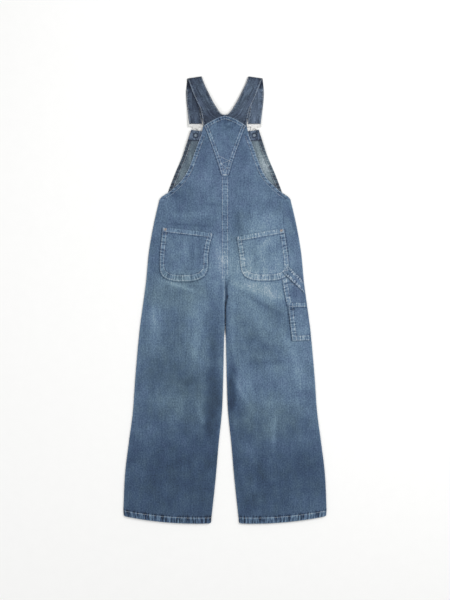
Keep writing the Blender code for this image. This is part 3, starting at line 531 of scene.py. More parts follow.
# Across a band: the place, the tone, where 0.5 changes nothing, and how strongly it ropes
bandProfile = [
    (-0.58, 0.50, 0.00),
    (-0.30, 0.46, 0.15),
    (-0.16, 0.20, 0.25),  # painted shade line just outside the edge
    (-0.04, 0.12, 0.25),
    (0.00, 0.55, 0.50),
    (0.10, 0.66, 0.70),  # the edge itself rubs pale
    (0.20, 0.53, 0.90),
    (0.50, 0.49, 0.65),
    (0.74, 0.51, 0.85),
    (0.86, 0.63, 0.90),  # the inner stitch row stands up and rubs pale
    (0.98, 0.51, 0.80),
    (1.10, 0.29, 0.50),  # painted shade in the hollow beside the band
    (1.28, 0.48, 0.20),
    (1.60, 0.50, 0.00),
]
profileFrom, profileTo = -0.6, 1.8
profileStops = [
    ((across - profileFrom) / (profileTo - profileFrom), (tone, ropes, 0.0))
    for across, tone, ropes in bandProfile
]
mottling = [  # cell size, amount and detail
    ((0.085, 0.110), 0.110, 2.0),  # clouds from the wash
    ((0.022, 0.028), 0.070, 2.0),
    ((0.0050, 0.060), 0.110, 2.0),  # streaks along the warp
    ((0.0037, 0.0052), 0.265, 1.0),  # grain
]
strapMottling = [
    ((0.030, 0.040), 0.070, 2.0),
    ((0.0056, 0.070), 0.380, 2.0),  # darker streaks where it was folded
    ((0.0037, 0.0048), 0.280, 1.0),
]


def denimFinish(name, look):
    # Ring-spun cotton twill, dyed indigo on the warp only and washed: the white weft and core
    # show as a pale grain, and the dye wears to uneven streaks along the warp.
    surface, tree = newFinish(name)
    field = {}
    for key in ("cloth", "seam"):
        field[key] = addNode(tree, "ShaderNodeUVMap", {"uv_map": key}).outputs["UV"]
    for key in ("tone", "roping", "cast"):
        field[key] = addNode(tree, "ShaderNodeAttribute", {"attribute_name": key}).outputs["Fac"]
    # noises about zero: their name, what they lie on, cell size, amount and detail
    noises = [("mottle", "cloth", *layer) for layer in look["mottling"]]
    noises += [
        ("rungs", "seam", look["rungSize"], look["rungContrast"], 1.0),
        ("drift", "cloth", look["castSize"], look["castAmount"], 2.0),
        ("slub", "cloth", look["slubSize"], 1.0, 2.0),
    ]
    field["mottle"] = -sum(amount for _, amount, _ in look["mottling"]) / 2
    for key, place, (along, up), amount, detail in noises:
        scale = (1 / along, 1 / up, 1)
        cells = addNode(tree, "ShaderNodeMapping", {"Scale": scale, "Vector": field[place]})
        noise = addNode(tree, "ShaderNodeTexNoise", {
            "noise_dimensions": "2D", "Scale": 1.0, "Detail": detail, "Roughness": 0.6,
            "Vector": cells.outputs["Vector"],
        })
        field[key] = addNode(tree, "ShaderNodeMath", {
            "operation": "MULTIPLY_ADD", 0: noise.outputs["Fac"], 1: amount, 2: field.get(key, -amount / 2),
        }).outputs[0]
    # red of a band's profile is its tone, with its painted shade lines, and green how strongly it ropes
    across = addNode(tree, "ShaderNodeSeparateXYZ", {"Vector": field["seam"]}).outputs["Y"]
    place = addNode(tree, "ShaderNodeMapRange", {
        "From Min": profileFrom, "From Max": profileTo, "Value": across,
    })
    profile = addNode(tree, "ShaderNodeValToRGB", {"stops": profileStops, "Fac": place.outputs["Result"]})
    parts = addNode(tree, "ShaderNodeSeparateColor", {"Color": profile.outputs["Color"]}).outputs
    field.update({"line": parts["Red"], "ropes": parts["Green"]})
    # Real twill lines are 0.6 mm apart. Drawn three times as coarse, so that a close view shows them.
    # A wave texture's bands are 0.314 apart at a scale of 1.
    turn = (0, 0, math.radians(look["twillTurn"]))
    turned = addNode(tree, "ShaderNodeMapping", {"Rotation": turn, "Vector": field["cloth"]})
    field["twill"] = addNode(tree, "ShaderNodeTexWave", {
        "wave_type": "BANDS", "bands_direction": "X", "Scale": 0.314 / look["twillPitch"],
        "Distortion": 0.6, "Detail": 1.0, "Vector": turned.outputs["Vector"],
    }).outputs["Fac"]
    for result, operation, *values in (
        ("depth", "MULTIPLY", "tone", look["paleMottling"]),
        ("total", "MULTIPLY_ADD", "mottle", "depth", "tone"),
        ("rungs", "MINIMUM", "rungs", 1.0),
        ("rungs", "MAXIMUM", "rungs", -1.0),
        ("rungs", "MULTIPLY", "rungs", "ropes"),
        ("rungs", "MULTIPLY", "rungs", "roping"),
        ("line", "SUBTRACT", "line", 0.5),
        ("line", "MULTIPLY", "line", "roping"),
        ("total", "MULTIPLY_ADD", "rungs", look["rungTone"], "total"),
        ("total", "MULTIPLY_ADD", "line", look["lineTone"], "total"),
        ("weave", "SUBTRACT", "twill", 0.5),
        ("total", "MULTIPLY_ADD", "weave", look["twillTone"], "total"),
        ("cast", "ADD", "cast", "drift"),  # greener and greyer, or more violet
        ("hue", "ADD", "cast", look["hue"]),
        ("greyer", "MINIMUM", "cast", 0.0),
        ("saturation", "MULTIPLY_ADD", "greyer", look["castGreying"], 1.0),
        ("relief", "MULTIPLY_ADD", "twill", 0.5, "slub"),
        ("relief", "MULTIPLY_ADD", "rungs", look["rungRelief"], "relief"),
    ):
        inputs = {n: field.get(value, value) for n, value in enumerate(values)}
        field[result] = addNode(tree, "ShaderNodeMath", {"operation": operation, **inputs}).outputs[0]
    dye = addNode(tree, "ShaderNodeValToRGB", {"stops": look["dye"], "Fac": field["total"]})
    tinted = addNode(tree, "ShaderNodeHueSaturation", {
        "Hue": field["hue"], "Saturation": field["saturation"], "Color": dye.outputs["Color"],
    })
    depth = look["reliefDepth"]
    bump = addNode(tree, "ShaderNodeBump", {"Strength": 0.6, "Distance": depth, "Height": field["relief"]})
    shader = addNode(tree, "ShaderNodeBsdfPrincipled", {
        "Base Color": tinted.outputs["Color"],
        "Normal": bump.outputs["Normal"],
        "Roughness": look["roughness"],
        "Specular IOR Level": 0.25,
        "Sheen Weight": look["sheen"],
        "Sheen Roughness": 0.45,
        "Sheen Tint": linear("#c8d4e2"),
    })
    addNode(tree, "ShaderNodeOutputMaterial", {"Surface": shader.outputs["BSDF"]})
    return surface


weave = {
    "mottling": mottling,
    "twillTurn": -27,
    "twillPitch": 0.0018,
    "twillTone": 0.040,
    "rungSize": (0.0048, 1.6),  # along a band in metres, and across it in band widths
    "rungContrast": 6.0,
    "rungTone": 0.135,
    "rungRelief": 1.4,
    "lineTone": 0.32,
    "castSize": (0.030, 0.040),
    "castAmount": 0.022,
    "castGreying": 7.0,  # the greener it is, the greyer
    "hue": 0.498,  # 0.5 leaves the dye as it is
    "paleMottling": 2.3,  # mottling shows less where the dye is deep
    "slubSize": (0.0024, 0.0024),
    "reliefDepth": 0.00028,
    "roughness": 0.88,
    "sheen": 0.15,
}
washedDenim = denimFinish("washed_indigo_denim", {
    **weave,
    "dye": [
        (0.16, "#1e2a3c"), (0.28, "#364963"), (0.34, "#435771"), (0.44, "#5a7089"),
        (0.53, "#6d859c"), (0.60, "#8698a7"), (0.78, "#c0cad2"),
    ],
})
strapDenim = denimFinish("less_worn_indigo_denim", {
    **weave,
    "mottling": strapMottling,
    "dye": [
        (0.16, "#1d2433"), (0.26, "#333d4e"), (0.34, "#495669"), (0.44, "#606f84"),
        (0.53, "#7a8797"), (0.66, "#a4adb6"), (0.80, "#c6cdd3"),
    ],
    "roughness": 0.90,
    "sheen": 0.12,
})
reverseDenim = denimFinish("denim_reverse", {  # the weft side: mostly undyed yarn, tinted by the wash
    **weave,
    "dye": [
        (0.16, "#2f3642"), (0.30, "#4a5663"), (0.40, "#61707a"), (0.50, "#7f8d95"),
        (0.62, "#a4b0b7"), (0.80, "#cbd1d4"),
    ],
    "twillTurn": 27,
    "twillTone": 0.050,
    "roughness": 0.92,
    "sheen": 0.10,
})
bothFaces = [washedDenim, reverseDenim]


def wornFinish(name, look):
    # a hard or twisted surface that is duller in patches, with fine marks all over
    surface, tree = newFinish(name)
    place = addNode(tree, "ShaderNodeTexCoord", {}).outputs["Object"]
    patches = addNode(tree, "ShaderNodeTexNoise", {
        "Scale": 1 / look["patchSize"], "Detail": look["patchDetail"], "Vector": place,
    }).outputs["Fac"]
    colour = addNode(tree, "ShaderNodeValToRGB", {"stops": look["stops"], "Fac": patches})
    dull, bright = look["roughness"]
    rough = addNode(tree, "ShaderNodeMapRange", {"To Min": dull, "To Max": bright, "Value": patches})
    marks = addNode(tree, "ShaderNodeTexNoise", {
        "Scale": 1 / look["markSize"], "Detail": look["markDetail"], "Vector": place,
    })
    bump = addNode(tree, "ShaderNodeBump", {
        "Strength": look["markStrength"], "Distance": look["markDepth"], "Height": marks.outputs["Fac"],
    })
    shader = addNode(tree, "ShaderNodeBsdfPrincipled", {
        "Base Color": colour.outputs["Color"],
        "Roughness": rough.outputs["Result"],
        "Normal": bump.outputs["Normal"],
        "Metallic": look["metallic"],
    })
    addNode(tree, "ShaderNodeOutputMaterial", {"Surface": shader.outputs["BSDF"]})
    return surface


# Plated metal handled for years: fine tumbling scratches, and a duller film in patches
plate = {
    "patchDetail": 3.0,
    "markSize": 0.000667,
    "markDetail": 2.0,
    "markDepth": 0.0001,
    "markStrength": 0.15,
    "metallic": 1.0,
}
nickelPlate = wornFinish("nickel_plated_brass", {
    **plate,
    "patchSize": 0.00385, "stops": [(0.35, "#e2e2df"), (0.62, "#f4f4f2")], "roughness": (0.40, 0.24),
})
agedCopper = wornFinish("aged_copper", {
    **plate,
    "patchSize": 0.00238, "stops": [(0.35, "#766e6b"), (0.62, "#aba5a3")], "roughness": (0.52, 0.36),
})
dullNickel = wornFinish("worn_nickel", {
    **plate,
    "patchSize": 0.00238, "stops": [(0.35, "#58626e"), (0.62, "#8b97a3")], "roughness": (0.55, 0.39),
})
# Polyester-wrapped topstitching thread, washed pale in stretches: matt, two plies twisted together
paleThread = wornFinish("pale_blue_thread", {
    "patchSize": 0.0143, "patchDetail": 2.0, "stops": [(0.38, "#b3bec9"), (0.58, "#dbe0e4")],
    "markSize": 0.000385,  # a ply's turn round the other
    "markDetail": 1.0, "markDepth": 0.0001, "markStrength": 0.3, "roughness": (0.6, 0.6), "metallic": 0.0,
})
print("finishes ready")

# Pockets and yoke come first as outlines, because the cloth under them gets painted shade along their edges
pockets = {
    "left": [acrossRow(*row) for row in (
        (0.0375, 0.2095, 0.1950, 0.2280), (0.0430, 0.1900, 0.1965, 0.2085),
        (0.0435, 0.1885, 0.1967, 0.2070), (0.0495, 0.1630, 0.1995, 0.1800),
        (0.0530, 0.1350, 0.2032, 0.1420), (0.0535, 0.1050, 0.2040, 0.1070),
        (0.0580, 0.0860, 0.2010, 0.0850), (0.0690, 0.0720, 0.1910, 0.0710),
        (0.0900, 0.0620, 0.1710, 0.0620), (0.1150, 0.0580, 0.1500, 0.0580),
    )],
    "right": [acrossRow(*row) for row in (
        (0.0356, 0.1985, 0.1845, 0.2245), (0.0393, 0.1790, 0.1870, 0.2050),
        (0.0396, 0.1775, 0.1872, 0.2035), (0.0430, 0.1560, 0.1915, 0.1770),
        (0.0465, 0.1310, 0.1965, 0.1400), (0.0490, 0.1060, 0.1995, 0.1080),
        (0.0535, 0.0870, 0.1975, 0.0860), (0.0635, 0.0735, 0.1885, 0.0725),
        (0.0830, 0.0640, 0.1680, 0.0640), (0.1080, 0.0605, 0.1430, 0.0605),
    )],
    "cell": 0.0021,
    "width": 0.155,
    "puff": 0.0022,
    "puffFrom": 0.25,  # how far up its curve the puff is at the mouth
    "mouthHem": 0.0145,
    "mouthRoping": 0.80,
    "roping": 1.0,
    "border": 0.0140,
    "footBorder": 0.0200,
    "foot": (0.105, 0.075),  # the border widens between these heights
    "stitchRows": (0.14, 0.88),  # in border widths
    "mouthStitches": 0.0126,
    "mouthStitchEnds": (0.02, 0.98),  # shares of the way across
    "firstRows": 0.0195,  # how far apart the first two rows of its tables are
    "hemTone": 0.03,
    "hemToneEnds": (0.0155, 0.0115),
    "underHem": 0.07,  # shade that the hem throws on the cloth below it
    "fold": {"width": 0.003, "rise": 0.0004, "sunk": 0.0003},  # its folded edge is rounded
    "innerTack": (0.006, 0.004),  # in and down from the mouth's corner
    "outerTack": (0.004, 0.006),
    "tackLength": 0.009,
    "mottle": ((0.012, 1, 0.014, 101),),
    "area": {"left": 0.0257, "right": 0.0242},
}


def pocketBand(y):
    # the sewn border is wider at the foot
    return pockets["border"] + (pockets["footBorder"] - pockets["border"]) * smoothStep(*pockets["foot"], y)


def pocketEdge(word, side):
    # down the inner side, round the foot and up the outer side
    lines = tableAt(pockets[word], placesDown(pockets[word], pathCell))
    down, up = lines[:, 0:2], lines[::-1, 2:4]
    foot = np.linspace(down[-1], up[0], 8)[1:-1]
    return np.concatenate([down, foot, up]) * (side, 1)


yoke = {
    "rows": [halfRow(*row) for row in (
        (0.0100, 0.3880, 0.3880), (0.0275, 0.4430, 0.4430), (0.0502, 0.5070, 0.5110),
        (0.0600, 0.5330, 0.5480), (0.0665, 0.5435, 0.5760),
    )],
    "cell": 0.0022,
    "columns": 56,
    "border": 0.0110,
    "roping": 0.9,
    "underRoping": 0.8,  # of the cloth that it is sewn to
    "archBulge": 0.55,
    "stitchRows": ((0.0020, 0), (0.0098, 3)),  # in from the edge, and places left out at the tip
    "crossings": (  # the stitches cross where the point was turned
        ((-0.0110, 0.4030), (0.0120, 0.4150)),
        ((0.0130, 0.4080), (-0.0150, 0.4280)),
        ((-0.0170, 0.4240), (0.0160, 0.4370)),
        ((0.0190, 0.4320), (-0.0190, 0.4500)),
    ),
    "tack": (0, 0.392, 0, 0.012),
    "step": (0.0130, 0.0100),
    "rounded": (-0.0004, 0.0006),
    "ropeLimit": 0.0002,
    "tone": 0.395,
    "mottle": ((0.05, 1, 0.010, 91),),
    "wornEnds": ((0.46, 0.40), (0.52, 0.55)),  # it is the most uneven at its tip and its arch
    "arch": {"shade": 0.07, "y": (0.520, 0.565)},
    "tip": {"tone": 0.04, "y": (0.42, 0.40)},
}


def yokeArch(across):
    return (1 - abs(across)) * (1 + yoke["archBulge"] * abs(across))


def yokeEdges():
    # its two long sides, upwards from the tip, and the arch over the straps from left to right
    lines = mirroredLines(yoke["rows"], yoke["cell"])
    across = np.linspace(-1, 1, 41)
    arch = np.stack([across * lines[-1, 2], lines[-1, 1] + yokeArch(across) * lines[-1, 4]], axis=1)
    return lines[:, 0:2], lines[:, 2:4], arch


ruleRow = namedtuple("ruleRow", "innerX innerY outerY bow", defaults=(0.0,))
rulePocket = {
    "back": [ruleRow(*row) for row in (
        (0.2098, -0.1285, -0.1265), (0.1995, -0.0430, -0.0420), (0.1893, 0.0060, 0.0050),
        (0.1840, 0.0350, 0.0330, 0.004), (0.1793, 0.0632, 0.0570, 0.009),
    )],
    "front": [ruleRow(*row) for row in (
        (0.2107, -0.1275, -0.1255), (0.2017, -0.0540, -0.0530), (0.2000, -0.0290, -0.0280),
        (0.1998, -0.0275, -0.0265), (0.1978, -0.0095, -0.0085),
    )],
    "cell": 0.0022,
    "columns": 28,
    "aboutWidth": 0.04,
    "seamInset": 0.0028,
    "border": 0.0145,
    "mouthHem": 0.0125,
    "foot": 0.0150,
    "swell": {"back": 0.0, "front": 0.0012},
    "swellUp": (0.15, 0.75),  # where on its curve the swell starts at the foot, and how much it runs
    "sideRoping": 1.1,
    "mouthRoping": 1.0,
    "underRoping": 1.2,
    "ropes": {"back": 0.3, "front": 0.8},
    "sunk": 0.0001,
    "flat": {"back": (0.075, 0.195), "front": (0.062, 0.119)},
    "area": {"back": 0.0116, "front": 0.0071},
    "hemTone": 0.06,
    "hemToneEnds": (0.0130, 0.0110),
    "frontTone": 0.012,
    "underHem": 0.06,
    "mottle": ((0.025, 1, 0.012, 121),),
    "sideStitches": (0.0020, 0.0125),
    "backMouth": ((0.1845, 0.0455), (0.2040, 0.0490), (0.2240, 0.0465)),
    "frontMouth": ((0.1990, -0.0202), (0.2545, -0.0195)),
    "footStitches": ((0.2125, -0.1253), (0.2640, -0.1238)),
    "footRows": 0.012,  # between the foot's two rows of stitches
    "bareAbove": -0.008,  # the front layer covers the back one below
}


def ruleLines(layer):
    width = rulePocket["aboutWidth"]
    table = [(r.innerX, r.innerY, r.innerX + width, r.outerY, r.bow) for r in rulePocket[layer]]
    lines = tableAt(table, placesDown(table, rulePocket["cell"]))
    lines[:, 2] = legEdges(lines[:, 3])[1] - rulePocket["seamInset"]
    return lines


def edgeShadeBands(x, y):
    # bands round everything sewn on the back, which paint a line of shade on the cloth just outside each
    # edge
    leftSide, rightSide, _ = yokeEdges()
    made = []
    for path, inward, width, strength in (
        (pocketEdge("left", -1), -1, pocketBand(y), pockets["roping"]),
        (pocketEdge("right", 1), 1, pocketBand(y), pockets["roping"]),
        (leftSide, -1, yoke["border"], yoke["underRoping"]),
        (rightSide, 1, yoke["border"], yoke["underRoping"]),
        (ruleLines("back")[:, 0:2], -1, rulePocket["border"], rulePocket["underRoping"]),
    ):
        distance, run, leftOf = distanceTo(path, x, y)
        fade = roping["endFade"]
        beside = smoothStep(0, fade, run) * smoothStep(0, fade, run.max() - run)  # not past its ends
        made.append(sewnBand(inward * leftOf * distance, run, width, strength * beside))
    return made


def legPanel(name, node, side, isBack, panel):
    places = placesDown(panel["rows"], panel["cell"])
    places = np.unique(np.concatenate([np.linspace(0, 1, 11), places[places >= 1]]))  # closer in the hem
    lines = tableAt(panel["rows"], places)
    fromCorner = np.maximum(0, 1 - places * hem["depth"] / hem["corner"])
    roundOff = hem["corner"] * (1 - np.sqrt(1 - fromCorner**2))
    lines[:, 0] += roundOff
    lines[:, 2] -= roundOff
    innerEndY, outerEndY = lines[:, 1, None], lines[:, 3, None]
    width = np.linalg.norm(lines[:, 2:4] - lines[:, 0:2], axis=1)[:, None]
    curl = np.linspace(0, curlLength, 5)
    near, far = np.concatenate([curl, body["innerColumns"]]), np.concatenate([curl, body["outerColumns"]])
    offset = columnsAcross(width, near, far, panel["middles"])
    nearInner = np.arange(offset.shape[1]) < len(near) + panel["middles"] // 2
    distance = np.where(nearInner, offset, width - offset)
    # the free edges of the back and front roll to meet each other
    innerRoll, outerRoll = smoothStep(*body["crotch"], innerEndY), smoothStep(*body["sideTop"], outerEndY)
    roll = np.where(nearInner, innerRoll, outerRoll)
    turn = np.maximum(0, 1 - distance / curlLength) * math.pi / 2
    pulledIn = (curlRadius * (1 - np.sin(turn)) - distance) * roll * (distance <= curlLength)
    drop, lean = roll * curlRadius * (1 - np.cos(turn)), roll * turn

    def plan(fromEdge):
        x, y = spread(lines, np.where(nearInner, fromEdge, width - fromEdge) / width)
        return side * x, y

    x, y = plan(distance + pulledIn)
    innerX, innerY = plan(distance + pulledIn + cloth["ply"] * np.sin(lean))
    tone = washAndShadeTone(x, y) + washAndShade["foldTone"] * (foldHeight(x, y) - washAndShade["flatHeight"])
    bands = [sewnBand(innerEndY - hem["innerY"] + 0 * x, x, hem["depth"], hem["roping"], hem["pace"])]
    raised = cloth["turned"] * (places <= 1.02)[:, None] * (lean == 0)  # the hem, to its second row
    if isBack:
        for sewn, onIt, endY in (("seam", nearInner, innerEndY), ("armhole", ~nearInner, outerEndY)):
            sewn = body[sewn]
            fade = onIt * (1 - roll) * smoothStep(*sewn["top"], endY)
            bands.append(sewnBand(distance, y, sewn["width"], sewn["strength"] * fade))
            raised = raised + cloth["turned"] * fade * smoothStep(*sewn["step"], distance)
        bands += edgeShadeBands(x, y)
    band = strongest(*bands)
    raised = raised + bandHeight(band, 50 + side) * (lean == 0) * (band[1] > 0)
    rub = body["rub"]
    inShade = nearInner * (side > 0) * smoothStep(*body["inShade"], y)
    rubbedAndLit = roll * ridge(distance, 0, rub["width"]) * (1 + noiseSum(x, y, rub["uneven"]))
    tone = tone + rub["tone"] * (1 - inShade) * rubbedAndLit
    thick = cloth["ply"] * np.cos(lean)
    if isBack:
        z, innerZ = backTop(x, y) - drop + raised, backTop(innerX, innerY) - drop - thick
    else:
        z, innerZ = lift(y) + drop, lift(innerY) + drop + thick
    outer, inner = stacked(x, y, z), stacked(innerX, innerY, innerZ)
    return clothSlab(name, node, outer, inner, stacked(x, y), tone, band, bothFaces, "denim")


# The front legs end at the waist seam, just under the back's side opening
waistY = 0.3185 - cloth["gap"]
frontLeg = {
    "rows": [row for row in body["rows"] if row.innerY < 0.29] + [
        acrossRow(0.00015, 0.2980, 0.2085, 0.2980),
        acrossRow(0.00015, waistY, 0.2000, waistY),
    ],
    "cell": 0.012,
    "middles": 20,
}
pieces = {}
for word, side in sides:
    back = legPanel(f"back_cloth_{word}", f"back_{word}", side, True, body)
    front = legPanel(f"front_cloth_{word}", f"front_{word}", side, False, frontLeg)
    pieces[f"back_{word}"] = back
print("leg panels laid")

# Front bib, seen from its inner side
bib = {
    "rows": [halfRow(*row) for row in (
        (0.1990, 0.3185, 0.3185), (0.1800, 0.3340, 0.3360), (0.1735, 0.3500, 0.3520),
        (0.1540, 0.4000, 0.4000), (0.1325, 0.4500, 0.4480), (0.1185, 0.4920, 0.4880),
        (0.1163, 0.4985, 0.4940), (0.1055, 0.5320, 0.5240),
    )],
    "cell": 0.0035,
    "middles": 76,
    "edgeColumns": (0, 0.003, 0.006, 0.009, 0.012, 0.0128, 0.015),
    "sideHem": 0.012,
    "sideHemStep": (0.0129, 0.0118),
    "sideHemTop": (0.490, 0.484),
    "sideStitches": 0.0105,
    "tone": 0.385,
    "hemShade": 0.165,  # the side hems show the dark face of the cloth
    "hemShadeEnds": (0.0135, 0.0110),
    "rub": {"tone": 0.16, "x": 0.125, "halfX": 0.028, "y": 0.425, "halfY": 0.055},
    "mottle": ((0.03, 1, 0.03, 71), (0.03, 0.15, 0.005, 72)),
    "underFacing": {"shade": 0.14, "y": (0.4955, 0.4980)},
}


def makeBib():
    lines = mirroredLines(bib["rows"], bib["cell"])
    width = 2 * lines[:, 2, None]
    near = np.array(bib["edgeColumns"])
    offset = columnsAcross(width, near, near, bib["middles"])
    x, y = spread(lines, offset / width)
    edge = np.minimum(offset, width - offset)
    hemFade = smoothStep(*bib["sideHemTop"], y)
    band = sewnBand(edge, y, bib["sideHem"], hemFade)
    raised = hemFade * cloth["turned"] * smoothStep(*bib["sideHemStep"], edge) + bandHeight(band, 70)
    rub = bib["rub"]
    tone = bib["tone"] + rub["tone"] * ridge(x, rub["x"], rub["halfX"]) * ridge(y, rub["y"], rub["halfY"])
    tone = tone - bib["hemShade"] * smoothStep(*bib["hemShadeEnds"], edge) + noiseSum(x, y, bib["mottle"])
    tone = tone - bib["underFacing"]["shade"] * smoothStep(*bib["underFacing"]["y"], y)
    base = lift(y)
    top = base + cloth["ply"] + np.maximum(raised, 0)
    faces = [reverseDenim, washedDenim]
    made = laidCloth("front_bib_cloth", "front_bib", x, y, base, top, tone, band, faces, "denim_inside")
    return made


pieces["bib"] = makeBib()
facing = {
    "rows": 16,
    "columns": 64,
    "y": 0.500,
    "depth": 0.031,
    "inset": 0.0010,
    "band": 0.006,
    "tone": 0.350,
    "mottle": ((0.03, 1, 0.012, 74),),
    "shade": 0.16,  # at its lower edge and round the tacks
    "edgeHalfWidth": 0.0022,
    "tackRadius": 0.0072,
    "tackHalfWidth": 0.0018,
    "roping": 0.8,
    "ropes": 0.4,
    "sunk": 0.00015,
}


def makeFacing():
    low, high = bib["rows"][-2:]
    up = np.linspace(0, 1, facing["rows"] + 1)[:, None]
    across = np.linspace(-1, 1, facing["columns"] + 1)
    half = low.halfWidth + (high.halfWidth - low.halfWidth) * up - facing["inset"]
    edgeY = facing["y"] + (high.edgeY - facing["inset"] - facing["y"]) * up
    sagLow, sagHigh = low.middleY - low.edgeY, high.middleY - high.edgeY
    y = edgeY + (1 - across**2) * (sagLow + (sagHigh - sagLow) * up)
    x = across * half
    fromEdge = np.minimum(up, 1 - up) * facing["depth"] + 0 * x
    band = sewnBand(fromEdge, x, facing["band"], facing["roping"])
    tone = facing["tone"] + noiseSum(x, y, facing["mottle"])
    tone = tone - facing["shade"] * ridge(up * facing["depth"], 0, facing["edgeHalfWidth"])
    for word, _ in sides:  # painted shade in a ring round the tack, where the cloth would sink in
        tack = np.array(bpy.data.objects[f"tack_{word}"].bound_box).mean(axis=0)
        fromTack = np.hypot(x - tack[0], y - tack[1])
        tone = tone - facing["shade"] * ridge(fromTack, facing["tackRadius"], facing["tackHalfWidth"])
    base = lift(y) + cloth["ply"] + cloth["gap"]
    top = base + cloth["ply"] + facing["ropes"] * bandHeight(band, 73) - facing["sunk"]
    name, node = "bib_facing_cloth", "bib_facing"
    made = laidCloth(name, node, x, y, base, top, tone, band, [strapDenim], "denim_dark")


makeFacing()
print("bib laid")

# Straps: back stretch from under the yoke to the shoulder fold, then the front stretch and the tail
strapRow = namedtuple("strapRow", "innerX innerY outerX outerY z")
barY = 0.5538  # where it turns through the buckle
strap = {
    "back": [strapRow(*row) for row in (
        (0.00015, 0.5646, 0.0679, 0.5426, 0.00910), (0.00020, 0.5780, 0.0688, 0.5540, 0.00910),
        (0.0085, 0.5800, 0.0715, 0.5660, 0.00910), (0.0184, 0.5890, 0.0740, 0.5800, 0.00895),
        (0.0265, 0.6020, 0.0785, 0.5980, 0.00830), (0.0375, 0.6200, 0.0865, 0.6160, 0.00740),
        (0.0520, 0.6490, 0.0985, 0.6430, 0.00590), (0.0640, 0.6740, 0.1080, 0.6670, 0.00530),
        (0.0725, 0.6965, 0.1165, 0.6900, 0.00530),
    )],
    "front": [strapRow(*row) for row in (
        (0.0730, 0.6960, 0.1180, 0.6895, 0.00100), (0.0795, 0.6600, 0.1210, 0.6580, 0.00100),
        (0.0798, 0.6300, 0.1207, 0.6290, 0.00100), (0.0770, 0.6000, 0.1178, 0.6000, 0.00110),
        (0.0715, barY, 0.1120, barY, 0.00150),
    )],
    "tail": [strapRow(*row) for row in (
        (0.0715, barY, 0.1120, barY, 0.00610), (0.0725, 0.5670, 0.1135, 0.5670, 0.00610),
        (0.0768, 0.5980, 0.1174, 0.5980, 0.00335), (0.0793, 0.6290, 0.1200, 0.6280, 0.00325),
        (0.0790, 0.6600, 0.1205, 0.6585, 0.00325),
    )],
    "cell": 0.0032,
    "columns": 16,
    "turnSteps": 8,
    "band": 0.0065,
    "roping": 0.55,
    "ropes": 0.3,
    "sunk": 0.00012,
    "softEdge": 0.0012,
    "edgePly": 0.72,  # a strap's edge is this share of its middle's thickness
    "stitchIn": 0.0026,
    "castFrom": 0.0014,  # its stitches drop from this far above its middle
    # distances along the strap: out of the yoke, round the shoulder, and the shade behind the turn
    "yokeShade": (0.050, 0.012),
    "shoulder": (0.150, 0.165),
    "turnEnds": (0.200, 0.190),
    "tone": {"left": 0.290, "right": 0.322},
    "frontTone": {"left": 0.290, "right": 0.350},
    "contact": {"left": 0.070, "right": 0.000},  # shade on the layer behind, beside the one on top
    "contactReach": 0.008,
    "mottle": (0.035, 1, 0.012),
    "turnShade": 0.120,
    # painted shade where the strap comes out from under the yoke
    "underYoke": 0.05,
    # a painted highlight along the tail's end, strongest on the right
    "tailEnd": {"left": 0.030, "right": 0.110},
    "tailLine": {"from": 0.001, "halfWidth": 0.0018},
}


def strapStretch(rows, turn):
    lines = tableAt(rows, placesDown(rows, strap["cell"]))
    return [(line[0:2], line[2:4], line[4], turn) for line in lines]


def strapTurn(start, end, turned):
    # the half turn between two flat stretches, over a line across the strap
    inner, outer, topZ, _ = start
    radius, middleZ = abs(end.z - topZ) / 2, (topZ + end.z) / 2
    across = (outer - inner) / np.linalg.norm(outer - inner)
    ahead = np.array([-across[1], across[0]])
    made = []
    for n in range(1, strap["turnSteps"]):
        share = n / strap["turnSteps"]
        turn = turned + math.pi * share
        out = ahead * radius * math.sin(turn)
        innerAt = inner + (np.array(end[0:2]) - inner) * share
        outerAt = outer + (np.array(end[2:4]) - outer) * share
        made.append((innerAt + out, outerAt + out, middleZ + radius * math.cos(turn), turn))
    return made


def strapPath():
    made = strapStretch(strap["back"], 0.0)
    made += strapTurn(made[-1], strap["front"][0], 0.0)
    made += strapStretch(strap["front"], math.pi)
    made += strapTurn(made[-1], strap["tail"][0], math.pi)
    return made + strapStretch(strap["tail"], 2 * math.pi)


